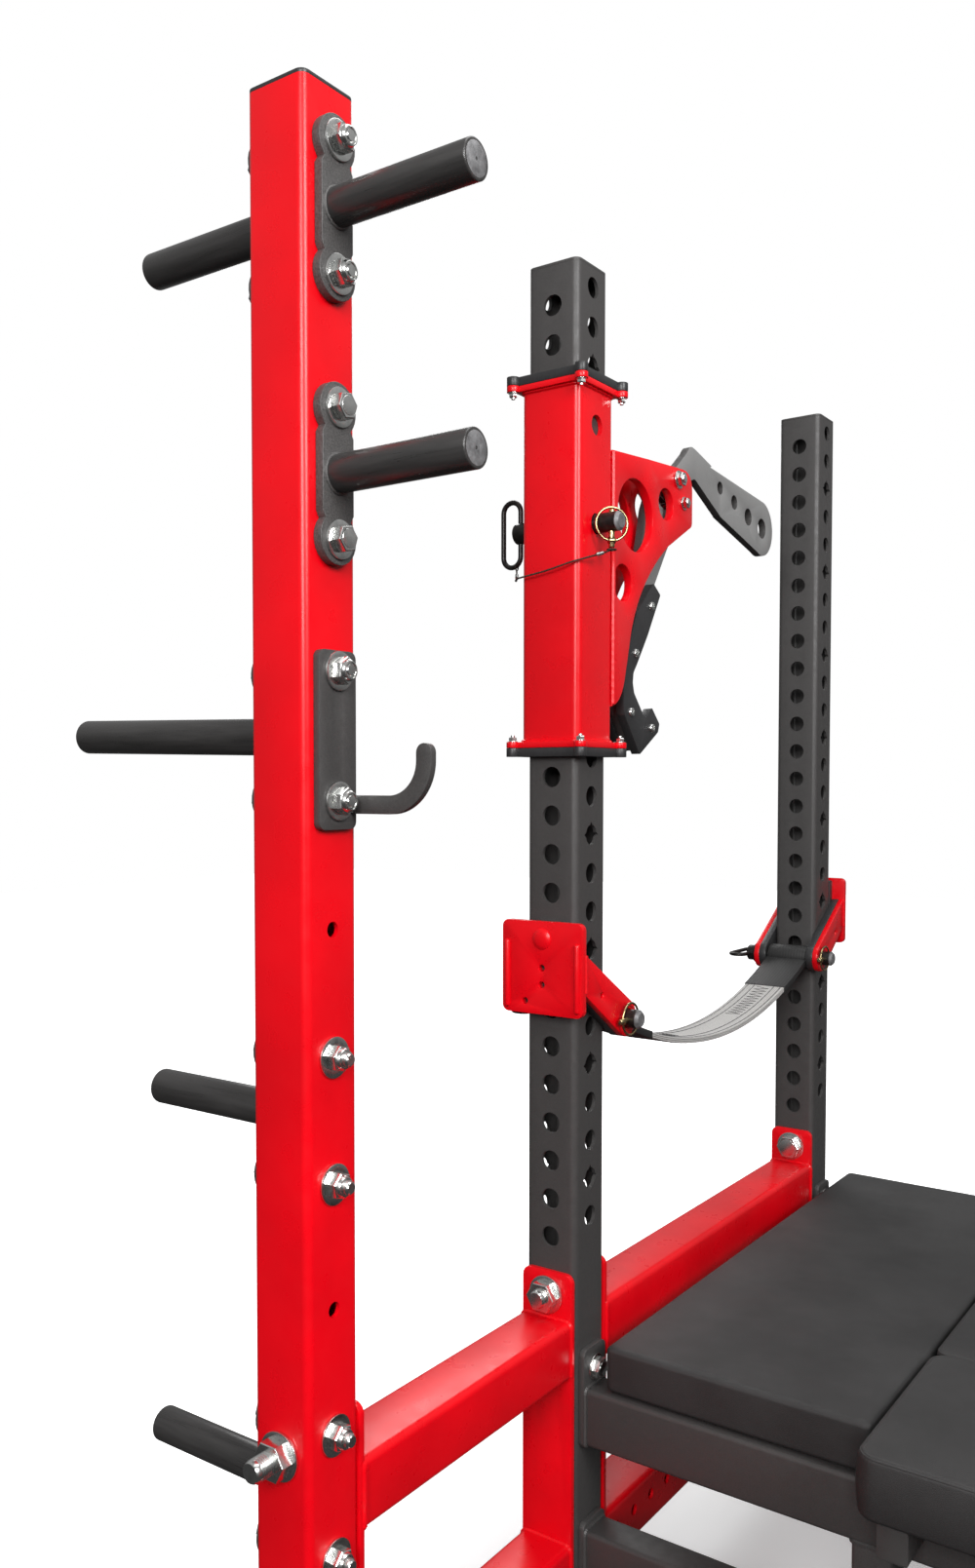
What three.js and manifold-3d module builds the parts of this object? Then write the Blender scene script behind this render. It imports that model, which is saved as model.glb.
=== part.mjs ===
// A bench-press rack with monolift arms: two storage uprights, two rack uprights and two entry
// uprights, tied by welded ladders, with a bench between them.
//
// Millimetres. +X runs across the machine, +Y from the storage uprights to the end where the lifter
// gets on, +Z up. The origin is on the floor, at the middle of the footprint.
// Each side is one group, drawn once with its own X towards the lifter and its own origin on the
// floor under the rack upright; the right-hand side is the same group mirrored.

import * as THREE from "three";
import { mergeVertices } from "three/addons/utils/BufferGeometryUtils.js";
import Module from "manifold-3d";

const wasm = await Module();
wasm.setup();

// ---------------------------------------------------------------- driving dimensions

const GAP = 0.3; // left between faces that touch
const TUBE = 76.2; // square tube of the uprights and ladders
const WALL = 4.8;
const HALF = TUBE / 2;
const BORE = HALF - WALL; // half the inside of that tube

const INNER_WIDTH = 1092; // between the two sides' inner faces
const STORAGE_BAY = 508; // storage upright to rack upright, centre to centre
const ENTRY_BAY = 850.9; // rack upright to entry upright
const STORAGE_HEIGHT = 1894;
const RACK_HEIGHT = 1884.5;
const FOOT = 110;
const FOOT_THICK = 8;
const CAP_THICK = 4;

const LADDER_BEAMS = [ // bottom and top of each beam
  [131, 207],
  [430, 506],
];
const LADDER_PLATE_TOP = 567;
const LADDER_PLATE = 8;

const STORAGE_HOLE_TOP = 1835.6; // the highest bolt hole of the storage upright
const STORAGE_PITCH = 128.3;

const LOCK_Z = 1550.3; // the lock pin
const LOCK_HOLE = 13.5;
const PIN_R = 12.7;
const PIN_TIP = 82; // how far each pin's tip stands in from the upright's centre
const LYNCH_X = 67;
const RING_DROP = 3; // the ring's middle is this far under the pin's
const RING_R = 21.5;
const RING_WIRE = 1.6;
const RING_TURN = (40 * Math.PI) / 180; // the ring faces this far round from the pin's axis
const LOOP_X = -74; // the loop handle's hinge
const LOOP_ROD = 3.5;
const LOOP_BEND = 14;
const LOOP_STRAIGHT = 30; // half the loop's straight length

const SLEEVE_HALF = 44.45;
const SLEEVE_BORE = 38.45;
const SLEEVE_LOW = 1265.7;
const SLEEVE_HIGH = 1724;
const SECOND_HOLE = 127; // above the lock pin's
const FLANGE_THICK = 7.2;
const FLANGE_HALF = 51;
const EAR_AT = 51.9;
const EAR_R = 8.5;
const GUIDE_THICK = 11.5;

const ARM_X = 19.7; // the middle of the arm's plate
const ARM_THICK = 12;
const GUSSET_THICK = 12;
const GUSSET_CLEAR = 25.5; // between the two gussets
const PIVOT = { y: 233.9, z: 1652 };
const PIVOT_R = 6;
const STOP = { y: 18, z: -31 }; // from the pivot
const STOP_R = 5;
const SWING = Math.PI / 3; // the arm's travel
const FACING_THICK = 12.7;

const STRAP_Z = 894; // the strap pins
const STRAP_PIN_Y = 59.9; // from the upright's centre
const STRAP_SAG = 83;
const STRAP_WIDTH = 72;
const STRAP_THICK = 9;
const BRACKET_ARM = [38.5, 60.3]; // the plate of each arm, with its liner
const BRACKET_HALF = 61.5;
const BRACKET_LINER = 12.6;
const BRACKET_PLATE = 10;
const BRACKET_RIDGE = 4.5;
const STUD_RISE = 123; // the bracket's stud, above the strap pin
const STUD_R = 12.5;

const BEAM_DEPTH = 50.8;
const BENCH_BEAM = [334.8, 411];
const LOW_BEAM = [144, 220];
const RAIL_X = 158;
const PAD_START = -18; // from the rack upright's centre
const PAD_END = 912;
const PAD_FLOOR = 413;

const FRONT_REACH = ENTRY_BAY + HALF + BRACKET_LINER + BRACKET_PLATE + BRACKET_RIDGE + GAP;
const REAR_REACH = STORAGE_BAY + FOOT / 2;
const RACK_Y = (REAR_REACH - FRONT_REACH) / 2;
const SIDE_X = (INNER_WIDTH + TUBE) / 2;

// ---------------------------------------------------------------- finishes

const finish = (color, roughness, metalness) =>
  new THREE.MeshStandardMaterial({ color, roughness, metalness });

const RED = finish(0xc8101c, 0.3, 0.2);
const BLACK = finish(0x26262a, 0.6, 0.2);
const GREY_STEEL = finish(0x5d5f62, 0.45, 0.6);
const PIN_BLACK = finish(0x1c1a19, 0.35, 0.4);
const PLASTIC = finish(0x17181a, 0.55, 0);
const ZINC = finish(0xb9bcc0, 0.3, 0.9);
const GOLD_ZINC = finish(0xb99b55, 0.35, 0.9);
const VINYL = finish(0x2b2b2c, 0.6, 0);
const WEBBING = finish(0x8d8a86, 0.85, 0);
const CABLE = finish(0x4a4136, 0.4, 0.7);

// ---------------------------------------------------------------- solids

// A closed geometry as a solid that can be cut and joined.
function solid(piece) {
  if (!piece.isBufferGeometry) return piece;
  const bare = piece.clone();
  bare.deleteAttribute("normal");
  bare.deleteAttribute("uv");
  const merged = mergeVertices(bare, 1e-4);
  return new wasm.Manifold(
    new wasm.Mesh({
      numProp: 3,
      vertProperties: merged.attributes.position.array,
      triVerts: new Uint32Array(merged.index.array),
    }),
  );
}

const join = (...pieces) => pieces.map(solid).reduce((a, b) => a.add(b));
const cut = (body, ...tools) => tools.map(solid).reduce((a, b) => a.subtract(b), solid(body));

// A named mesh, flat-shaded, of a geometry or a solid.
function part(name, shape, material) {
  let geometry = shape;
  if (!shape.isBufferGeometry) {
    const made = shape.getMesh();
    geometry = new THREE.BufferGeometry()
      .setAttribute("position", new THREE.BufferAttribute(made.vertProperties, 3))
      .setIndex(new THREE.BufferAttribute(made.triVerts, 1))
      .toNonIndexed();
    geometry.computeVertexNormals();
  }
  const mesh = new THREE.Mesh(geometry, material);
  mesh.name = name;
  return mesh;
}

function block(x, y, z) {
  const [sx, sy, sz] = [x, y, z].map(([low, high]) => high - low);
  return new THREE.BoxGeometry(sx, sy, sz).translate(
    x[0] + sx / 2,
    y[0] + sy / 2,
    z[0] + sz / 2,
  );
}

const across = (half) => [-half, half];

const UNIT = { x: [1, 0, 0], y: [0, 1, 0], z: [0, 0, 1] };
const unit = (axis) => new THREE.Vector3(...UNIT[axis]);

// A round bar along an axis, through the point at.
function bar(axis, radius, [low, high], at = [0, 0, 0], sides = 12) {
  const turn = new THREE.Quaternion().setFromUnitVectors(unit("y"), unit(axis));
  const middle = unit(axis).multiplyScalar((low + high) / 2);
  return new THREE.CylinderGeometry(radius, radius, high - low, sides)
    .applyQuaternion(turn)
    .translate(middle.x + at[0], middle.y + at[1], middle.z + at[2]);
}

// A flat plate square to an axis. Its outline is drawn in the other two axes, in X, Y, Z order.
function plate(outline, axis, [low, high], curveSegments = 3) {
  const made = new THREE.ExtrudeGeometry(outline, {
    depth: high - low,
    bevelEnabled: false,
    curveSegments,
  });
  if (axis === "x")
    made.applyMatrix4(new THREE.Matrix4().makeBasis(unit("y"), unit("z"), unit("x")));
  if (axis === "y")
    made.applyMatrix4(new THREE.Matrix4().makeBasis(unit("x"), unit("z"), unit("y").negate()));
  const start = axis === "y" ? high : low;
  const shift = unit(axis).multiplyScalar(start);
  return made.translate(shift.x, shift.y, shift.z);
}

// Points of an arc about (u, v), from one angle to another, in steps.
function arc(u, v, radius, from, to, steps) {
  return Array.from({ length: steps + 1 }, (_, i) => {
    const angle = from + ((to - from) * i) / steps;
    return new THREE.Vector2(u + radius * Math.cos(angle), v + radius * Math.sin(angle));
  });
}

const hole = (u, v, radius, sides = 12) =>
  new THREE.Path(arc(u, v, radius, 0, 2 * Math.PI, sides).slice(0, -1));

function outlineOf(points) {
  return new THREE.Shape(points.map((p) => (p.isVector2 ? p : new THREE.Vector2(...p))));
}

// A rectangle with its corners cut off by curves.
function rounded([u0, u1], [v0, v1], r) {
  return new THREE.Shape()
    .moveTo(u0 + r, v0)
    .lineTo(u1 - r, v0)
    .quadraticCurveTo(u1, v0, u1, v0 + r)
    .lineTo(u1, v1 - r)
    .quadraticCurveTo(u1, v1, u1 - r, v1)
    .lineTo(u0 + r, v1)
    .quadraticCurveTo(u0, v1, u0, v1 - r)
    .lineTo(u0, v0 + r)
    .quadraticCurveTo(u0, v0, u0 + r, v0);
}

// A rod of round section along a curve that starts and ends open.
function rodAlong(curve, radius, sides, steps) {
  const section = outlineOf(arc(0, 0, radius, 0, 2 * Math.PI, sides).slice(0, -1));
  return new THREE.ExtrudeGeometry(section, { steps, extrudePath: curve, bevelEnabled: false });
}

// ---------------------------------------------------------------- uprights and ladders

// An upright stands on a welded foot plate that is open under the tube, and ends in a flat cap.
function upright(height, ...holes) {
  const tube = block(across(HALF), across(HALF), [0, height]);
  const foot = block(across(FOOT / 2), across(FOOT / 2), [0, FOOT_THICK]);
  const inside = block(across(BORE), across(BORE), [-1, height - CAP_THICK]);
  return cut(join(tube, foot), inside, ...holes);
}

// Two beams along Y between two end plates. Each beam is a tube that is open through its plates.
function ladder(y0, y1) {
  const [bottom] = LADDER_BEAMS[0];
  const ends = rounded(across(HALF), [bottom - 10, LADDER_PLATE_TOP], 12);
  const beams = LADDER_BEAMS.map((z) => block(across(HALF), [y0 + 1, y1 - 1], z));
  const insides = LADDER_BEAMS.map(([low, high]) =>
    block(across(BORE), [y0 - 1, y1 + 1], [low + WALL, high - WALL]),
  );
  const plates = [
    plate(ends, "y", [y0, y0 + LADDER_PLATE]),
    plate(ends, "y", [y1 - LADDER_PLATE, y1]),
  ];
  return cut(join(...beams, ...plates), ...insides);
}

// ---------------------------------------------------------------- storage

const PEG_R = 19;
const PEG_WALL = 3;
const PEG_PLATE = { thick: 10, half: 89, lobe: 26, waist: 21 };

// The plate's two round lobes hold the bolts, and its waist carries the peg.
function pegPlateOutline() {
  const { half, lobe, waist } = PEG_PLATE;
  const centre = half - lobe;
  return outlineOf([
    ...arc(0, centre, lobe, -0.25 * Math.PI, 1.25 * Math.PI, 8),
    [-waist, 0],
    ...arc(0, -centre, lobe, 0.75 * Math.PI, 2.25 * Math.PI, 8),
    [waist, 0],
  ]);
}

// A storage peg along +X: a plate against the tube, and a capped round tube that is open at its back
// and may be canted up.
function peg(reach, cant) {
  const { thick } = PEG_PLATE;
  const start = HALF + GAP;
  return cut(
    join(
      plate(pegPlateOutline(), "x", [start, start + thick]),
      bar("x", PEG_R, [start + 1, HALF + reach], [0, 0, 0], 14).rotateY(-cant),
    ),
    bar("x", PEG_R - PEG_WALL, [start - 3, HALF + reach - 4], [0, 0, 0], 14).rotateY(-cant),
  );
}

const HOOK = { half: 27, low: -88.5, high: 88.5, thick: 8, strip: 18.5, bend: 34, run: 95, tip: 60 };

// A flat J cut from plate, welded to the far edge of its back plate.
function bandHook() {
  const { half, thick, strip, bend, run, tip } = HOOK;
  const start = HALF + GAP;
  const floor = -73; // the underside of the J
  const centre = [run, floor + strip + bend];
  const jay = outlineOf([
    [start + 1, floor],
    ...arc(...centre, bend + strip, -Math.PI / 2, 0, 6),
    ...arc(run + bend + strip / 2, floor + tip, strip / 2, 0, Math.PI, 4),
    ...arc(...centre, bend, 0, -Math.PI / 2, 6),
    [start + 1, floor + strip],
  ]);
  return join(
    plate(rounded(across(half), [HOOK.low, HOOK.high], 8), "x", [start, start + thick]),
    plate(jay, "y", [half - 8, half]),
  );
}

// ---------------------------------------------------------------- sleeve and monolift arm

// A square plate round the upright, with an ear for a screw at each corner.
function earedPlate(z) {
  const outline = outlineOf(
    [0, 1, 2, 3].flatMap((quarter) => {
      const turned = (quarter * Math.PI) / 2;
      const spread = Math.acos((FLANGE_HALF - EAR_AT) / EAR_R);
      const corner = turned + Math.PI / 4;
      const reach = EAR_AT * Math.SQRT2;
      const u = reach * Math.cos(corner);
      const v = reach * Math.sin(corner);
      return arc(u, v, EAR_R, turned - spread, turned + Math.PI / 2 + spread, 4);
    }),
  );
  outline.holes.push(
    outlineOf([
      [-SLEEVE_BORE, -SLEEVE_BORE],
      [-SLEEVE_BORE, SLEEVE_BORE],
      [SLEEVE_BORE, SLEEVE_BORE],
      [SLEEVE_BORE, -SLEEVE_BORE],
    ]),
  );
  return plate(outline, "z", z);
}

// The gusset, drawn in Y and Z about the pivot, with its back edge inside the sleeve's wall.
function gussetOutline() {
  const back = SLEEVE_HALF - PIVOT.y - 3;
  const outline = new THREE.Shape()
    .moveTo(back, 3)
    .lineTo(back, -337)
    .quadraticCurveTo(-163, -330, -154, -291)
    .lineTo(-144, -255)
    .quadraticCurveTo(-127, -168, -30, -101)
    .lineTo(47, -60)
    .lineTo(47, -9)
    .quadraticCurveTo(46, 18, 18, 18)
    .lineTo(-3, 17)
    .lineTo(-91, 11);
  outline.holes.push(
    hole(0, 0, PIVOT_R + 0.4),
    hole(-127, -73, 50, 16),
    hole(-37, -42, 23, 10),
    hole(-163, -169, 25, 10),
  );
  return outline;
}

function sleeve() {
  const outer = block(across(SLEEVE_HALF), across(SLEEVE_HALF), [SLEEVE_LOW, SLEEVE_HIGH]);
  const bore = block(across(SLEEVE_BORE), across(SLEEVE_BORE), [SLEEVE_LOW - 9, SLEEVE_HIGH + 9]);
  const pinHoles = [LOCK_Z, LOCK_Z + SECOND_HOLE].map((z) =>
    bar("x", LOCK_HOLE, across(60), [0, 0, z], 16),
  );
  const flanges = [
    earedPlate([SLEEVE_HIGH - 0.5, SLEEVE_HIGH + FLANGE_THICK]),
    earedPlate([SLEEVE_LOW - FLANGE_THICK, SLEEVE_LOW + 0.5]),
  ];
  const near = ARM_X + GUSSET_CLEAR / 2;
  const far = ARM_X - GUSSET_CLEAR / 2;
  const gussets = [
    [near, near + GUSSET_THICK],
    [far - GUSSET_THICK, far],
  ].map((x) => plate(gussetOutline(), "x", x).translate(0, PIVOT.y, PIVOT.z));
  const stopPin = bar("x", STOP_R, [far - 6, near + 6], [0, PIVOT.y + STOP.y, PIVOT.z + STOP.z]);
  return join(cut(join(outer, ...flanges, ...gussets), bore, ...pinHoles), stopPin);
}

// The pivot bolt, with a bush each side of the arm, a washer each side of the gussets, head and nut.
function pivotBolt() {
  const near = ARM_X + GUSSET_CLEAR / 2;
  const far = ARM_X - GUSSET_CLEAR / 2;
  const outside = near + GUSSET_THICK + GAP;
  const behind = far - GUSSET_THICK - GAP;
  const armFace = ARM_THICK / 2 + GAP;
  return join(
    bar("x", PIVOT_R, [behind - 14, outside + 12]),
    bar("x", 13, [ARM_X + armFace, near - GAP], [0, 0, 0], 8),
    bar("x", 13, [far + GAP, ARM_X - armFace], [0, 0, 0], 8),
    bar("x", 13, [outside, outside + 2.5]),
    bar("x", 13, [behind - 2.5, behind]),
    bar("x", 10.7, [outside + 2, outside + 10], [0, 0, 0], 6),
    bar("x", 10.7, [behind - 12, behind - 2], [0, 0, 0], 6),
  );
}

// The curved slot that the stop pin runs in, as the arm turns from rest to the end of its swing.
function stopSlot() {
  const radius = Math.hypot(STOP.y, STOP.z);
  const rest = Math.atan2(STOP.z, STOP.y);
  const end = rest - SWING;
  const play = STOP_R + 1.2;
  const at = (angle) => [radius * Math.cos(angle), radius * Math.sin(angle)];
  return new THREE.Path([
    ...arc(0, 0, radius + play, end, rest, 5),
    ...arc(...at(rest), play, rest, rest + Math.PI, 5),
    ...arc(0, 0, radius - play, rest, end, 5),
    ...arc(...at(end), play, end + Math.PI, end + 2 * Math.PI, 5),
  ]);
}

const HANDLE_HOLES = [
  [184, 25, 10],
  [238, 12, 11.5],
  [293, -2, 14],
  [349, -12, 16.5],
];

// One plate, drawn in Y and Z about the pivot: handle, hub, and the hook that carries the bar.
function armOutline() {
  const [endY, endZ] = HANDLE_HOLES.at(-1);
  const outline = outlineOf([
    [43, 28],
    [72, 62],
    [80, 68],
    [92, 67],
    [156, 52],
    ...arc(endY, endZ, 45, 0.46 * Math.PI, -0.63 * Math.PI, 9),
    [187, -20],
    [93, 22],
    [66, 10],
    [44, -30],
    [30, -62],
    [0, -102],
    [-45, -168],
    [-83, -232],
    [-115, -276],
    [-126, -296],
    [-121, -317],
    [-93, -347],
    [-84, -350],
    [-66, -336],
    [-46, -356],
    [-50, -366],
    [-102, -396],
    [-143, -346],
    [-147, -309],
    [-133, -252],
    [-110, -204],
    [-75, -102],
    [-62, -50],
    [-40, -12],
    [-14, 10],
    [10, 15],
  ]);
  outline.holes.push(
    hole(0, 0, PIVOT_R + 0.4),
    stopSlot(),
    ...HANDLE_HOLES.map(([y, z, r]) => hole(y, z, r)),
  );
  return outline;
}

// The plastic facing on each side of the hook.
const FACING = [
  [-63, -157],
  [-42, -171],
  [-80, -232],
  [-112, -276],
  [-121, -287],
  [-123, -301],
  [-119, -315],
  [-92, -344],
  [-83, -347],
  [-66, -333],
  [-43, -355],
  [-47, -367],
  [-102, -400],
  [-146, -346],
  [-150, -309],
  [-136, -252],
  [-113, -204],
];

// ---------------------------------------------------------------- pins

// A pull pin along X: shaft, hub with a cross hole for its loop, and a lynch pin near the tip whose
// head carries the snap ring.
function pullPin(hubStart, ringTurn) {
  const hub = join(
    bar("x", 18, [-hubStart - 6, -hubStart], [0, 0, 0], 14),
    bar("x", 14, [LOOP_X - 6, -hubStart - 5], [0, 0, 0], 14),
  );
  const shaft = bar("x", PIN_R, [-hubStart - 1, PIN_TIP], [0, 0, 0], 12);
  const loopHole = bar("z", LOOP_ROD + 0.6, across(30), [LOOP_X, 0, 0], 8);
  const foot = -RING_DROP - RING_R;
  const lynch = bar("z", 4, [foot - 9, RING_R - RING_DROP - RING_WIRE - 1.2], [LYNCH_X, 0, 0], 8);
  const head = bar("y", 4.6, across(4.5)).rotateZ(-ringTurn).translate(LYNCH_X, 0, foot);
  return join(cut(join(hub, shaft), loopHole), lynch, head);
}

// The loop's middle line, a stretched circle whose inner side runs through the hub.
class LoopLine extends THREE.Curve {
  constructor(start) {
    super();
    this.start = start;
  }
  getPoint(t, target = new THREE.Vector3()) {
    const bend = Math.PI * LOOP_BEND;
    const straight = 2 * LOOP_STRAIGHT;
    const round = 2 * (bend + straight);
    let s = (((t * 0.55 + this.start) % 1) * round + round) % round;
    const low = s >= round / 2;
    if (low) s -= round / 2;
    const sign = low ? -1 : 1;
    const turn = Math.max(0, s - straight) / LOOP_BEND;
    const z = Math.min(s, straight) - LOOP_STRAIGHT + LOOP_BEND * Math.sin(turn);
    return target.set(sign * LOOP_BEND * Math.cos(turn) - LOOP_BEND, 0, sign * z);
  }
}

// The loop is made in two halves that overlap, so that it closes.
function loopHandle() {
  return join(
    rodAlong(new LoopLine(0), LOOP_ROD, 6, 8),
    rodAlong(new LoopLine(0.5), LOOP_ROD, 6, 8),
  );
}

class ArcLine extends THREE.Curve {
  constructor(radius, from, to) {
    super();
    Object.assign(this, { radius, from, to });
  }
  getPoint(t, target = new THREE.Vector3()) {
    const angle = this.from + (this.to - this.from) * t;
    return target.set(0, this.radius * Math.cos(angle), this.radius * Math.sin(angle));
  }
}

// The snap ring, open where the lynch pin's head sits between its ends.
function snapRing() {
  const open = Math.asin(5.2 / RING_R);
  const line = new ArcLine(RING_R, open - Math.PI / 2, 1.5 * Math.PI - open);
  return rodAlong(line, RING_WIRE, 6, 18).rotateZ(-RING_TURN);
}

// A strap's pin is the same pin with its loop and ring fixed, and turned a quarter about its length.
function strapPin() {
  const ring = new THREE.TorusGeometry(RING_R, RING_WIRE, 4, 14)
    .rotateY(Math.PI / 2)
    .translate(LYNCH_X, 0, -RING_DROP);
  const loop = loopHandle().translate([LOOP_X, 0, 0]);
  const core = bar("z", LOOP_ROD + 1, across(13), [LOOP_X, 0, 0], 8);
  return join(pullPin(BRACKET_ARM[1] + GAP, 0), loop, core, ring);
}

// The thin cable from the lynch pin, round the storage side of the sleeve, to the loop's foot.
// Its points are about the lock pin.
const LANYARD = [
  [67, -0.5, -35.5],
  [66, -4, -37.5],
  [63, -14, -41.5],
  [58, -27, -46],
  [49, -42, -51.5],
  [35, -51, -56],
  [18, -52.5, -60],
  [0, -52.5, -63.5],
  [-18, -52.5, -66],
  [-34, -52, -68],
  [-48, -46.5, -68.5],
  [-59, -35, -68.5],
  [-68, -20, -66.5],
  [-75, -8, -61],
  [-79, -2, -54.5],
  [-80.5, -0.5, -48],
];
const LANYARD_R = 1.2;

// ---------------------------------------------------------------- safety strap

// A bracket's plate, arms and stud, about the strap pin's height at the upright's centre. Its arms
// run to +Y past the upright, and its stud goes into the upright's hole.
function strapBracket() {
  const outside = -HALF - GAP;
  const face = outside - BRACKET_LINER;
  const back = face - BRACKET_PLATE;
  const nose = 25;
  const armOutline = outlineOf([
    [face - 1, 99],
    ...arc(STRAP_PIN_Y, 0, nose, 0.33 * Math.PI, -0.69 * Math.PI, 8),
    [face - 1, 46],
  ]);
  armOutline.holes.push(hole(STRAP_PIN_Y, 0, LOCK_HOLE, 14));
  const [inner, outer] = BRACKET_ARM;
  const ridgeX = [BRACKET_HALF - 12, BRACKET_HALF - 4];
  const ridge = (x) => block(x, [back - BRACKET_RIDGE, back + 1], [22, 112]);
  return join(
    plate(rounded(across(BRACKET_HALF), [16, 138], 8), "y", [back, face]),
    block(across(HALF), [face - 1, outside], [20, 134]),
    plate(armOutline, "x", [inner, outer]),
    plate(armOutline, "x", [-outer, -inner]),
    ridge(ridgeX),
    ridge([-ridgeX[1], -ridgeX[0]]),
    bar("y", STUD_R, [face, outside + 18], [0, 0, STUD_RISE]),
  );
}

// The hanging strap, with a loop round each pin, about the rack upright's centre.
function strap() {
  const first = STRAP_PIN_Y;
  const last = ENTRY_BAY - STRAP_PIN_Y;
  const half = (last - first) / 2;
  const steps = 12;
  const line = (side) =>
    Array.from({ length: steps + 1 }, (_, i) => {
      const from = (2 * i) / steps - 1;
      return [first + half * (1 + from), side - STRAP_SAG * (1 - from * from)];
    });
  const band = outlineOf([...line(-STRAP_THICK / 2), ...line(STRAP_THICK / 2).reverse()]);
  const loops = [first, last].map((y) => bar("x", 20.6, across(STRAP_WIDTH / 2), [0, y, 0], 16));
  const eyes = [first, last].map((y) => bar("x", PIN_R + 0.8, across(STRAP_WIDTH), [0, y, 0], 16));
  return cut(join(plate(band, "x", across(STRAP_WIDTH / 2)), ...loops), ...eyes);
}

// ---------------------------------------------------------------- one side

function place(mesh, x, y, z) {
  mesh.position.set(x, y, z);
  return mesh;
}

const boltRow = (k) => STORAGE_HOLE_TOP - STORAGE_PITCH * k;

// Each peg's place, in bolt rows down from the top, its reach, and its cant in degrees.
const INNER_PEGS = [
  ["in_high", 0.5, 176, 0],
  ["in_low", 2.5, 176, 0],
];
const OUTER_PEGS = [
  ["out_1", 0.5, 180, 0],
  ["out_2", 4.5, 303, 1.2],
  ["out_3", 7.5, 178, 0],
  ["out_4", 10.5, 180, 0],
];

function addStorage(side, name) {
  const add = (turn) => ([label, row, reach, cant]) => {
    const shape = peg(reach, THREE.MathUtils.degToRad(cant));
    const made = part(`${name}_peg_${label}`, shape, BLACK);
    made.rotation.z = turn;
    side.add(place(made, 0, -STORAGE_BAY, boltRow(row)));
  };
  INNER_PEGS.forEach(add(0));
  OUTER_PEGS.forEach(add(Math.PI));
  if (name === "left")
    side.add(place(part("left_band_hook", bandHook(), BLACK), 0, -STORAGE_BAY, boltRow(4.5) - 4));
}

function addSleeve(side, name) {
  const clear = FLANGE_THICK + GAP;
  side.add(
    part(`${name}_sleeve`, sleeve(), RED),
    part(
      `${name}_guide_top`,
      earedPlate([SLEEVE_HIGH + clear, SLEEVE_HIGH + clear + GUIDE_THICK]),
      PLASTIC,
    ),
    part(
      `${name}_guide_bottom`,
      earedPlate([SLEEVE_LOW - clear - GUIDE_THICK, SLEEVE_LOW - clear]),
      PLASTIC,
    ),
  );
  const arm = new THREE.Group();
  arm.position.set(0, PIVOT.y, PIVOT.z);
  const plateX = [ARM_X - ARM_THICK / 2, ARM_X + ARM_THICK / 2];
  arm.add(
    part(`${name}_pivot_bolt`, pivotBolt(), ZINC),
    part(`${name}_monolift_arm`, plate(armOutline(), "x", plateX), GREY_STEEL),
    part(
      `${name}_facing_inner`,
      plate(outlineOf(FACING), "x", [plateX[1] + GAP, plateX[1] + GAP + FACING_THICK]),
      PLASTIC,
    ),
    part(
      `${name}_facing_outer`,
      plate(outlineOf(FACING), "x", [plateX[0] - GAP - FACING_THICK, plateX[0] - GAP]),
      PLASTIC,
    ),
  );
  side.add(arm);
}

function addLockPin(side, name) {
  const pin = new THREE.Group();
  pin.position.set(0, 0, LOCK_Z);
  const cable = new THREE.CatmullRomCurve3(LANYARD.map((p) => new THREE.Vector3(...p)));
  pin.add(
    part(`${name}_lock_pin`, pullPin(SLEEVE_HALF + GAP, RING_TURN), PIN_BLACK),
    place(part(`${name}_loop_handle`, loopHandle(), PIN_BLACK), LOOP_X, 0, 0),
    place(part(`${name}_lynch_ring`, snapRing(), GOLD_ZINC), LYNCH_X, 0, -RING_DROP),
    part(`${name}_lanyard`, rodAlong(cable, LANYARD_R, 8, 40), CABLE),
  );
  side.add(pin);
}

function addStrap(side, name) {
  const rack = part(`${name}_strap_bracket_rack`, strapBracket(), RED);
  const entry = part(`${name}_strap_bracket_entry`, strapBracket(), RED);
  entry.rotation.z = Math.PI;
  side.add(place(rack, 0, 0, STRAP_Z), place(entry, 0, ENTRY_BAY, STRAP_Z));
  const pins = { rack: STRAP_PIN_Y, entry: ENTRY_BAY - STRAP_PIN_Y };
  for (const [end, y] of Object.entries(pins)) {
    const pin = part(`${name}_strap_pin_${end}`, strapPin(), PIN_BLACK);
    pin.rotation.x = -Math.PI / 2;
    side.add(place(pin, 0, y, STRAP_Z));
  }
  side.add(place(part(`${name}_strap`, strap(), WEBBING), 0, 0, STRAP_Z));
}

function makeSide(name) {
  const side = new THREE.Group();
  const lockHole = bar("x", LOCK_HOLE, across(60), [0, 0, LOCK_Z], 16);
  const studZ = STRAP_Z + STUD_RISE;
  const studHole = (from, to) => bar("y", STUD_R + 1, [from, to], [0, 0, studZ], 14);
  side.add(
    place(part(`${name}_storage_upright`, upright(STORAGE_HEIGHT), RED), 0, -STORAGE_BAY, 0),
    part(`${name}_rack_upright`, upright(RACK_HEIGHT, lockHole, studHole(-60, 0)), BLACK),
    place(part(`${name}_entry_upright`, upright(RACK_HEIGHT, studHole(0, 60)), BLACK), 0, ENTRY_BAY, 0),
    part(`${name}_storage_ladder`, ladder(HALF + GAP - STORAGE_BAY, -HALF - GAP), RED),
    part(`${name}_side_ladder`, ladder(HALF + GAP, ENTRY_BAY - HALF - GAP), RED),
  );
  addStorage(side, name);
  addSleeve(side, name);
  addLockPin(side, name);
  addStrap(side, name);
  return side;
}

// ---------------------------------------------------------------- bench

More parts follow.
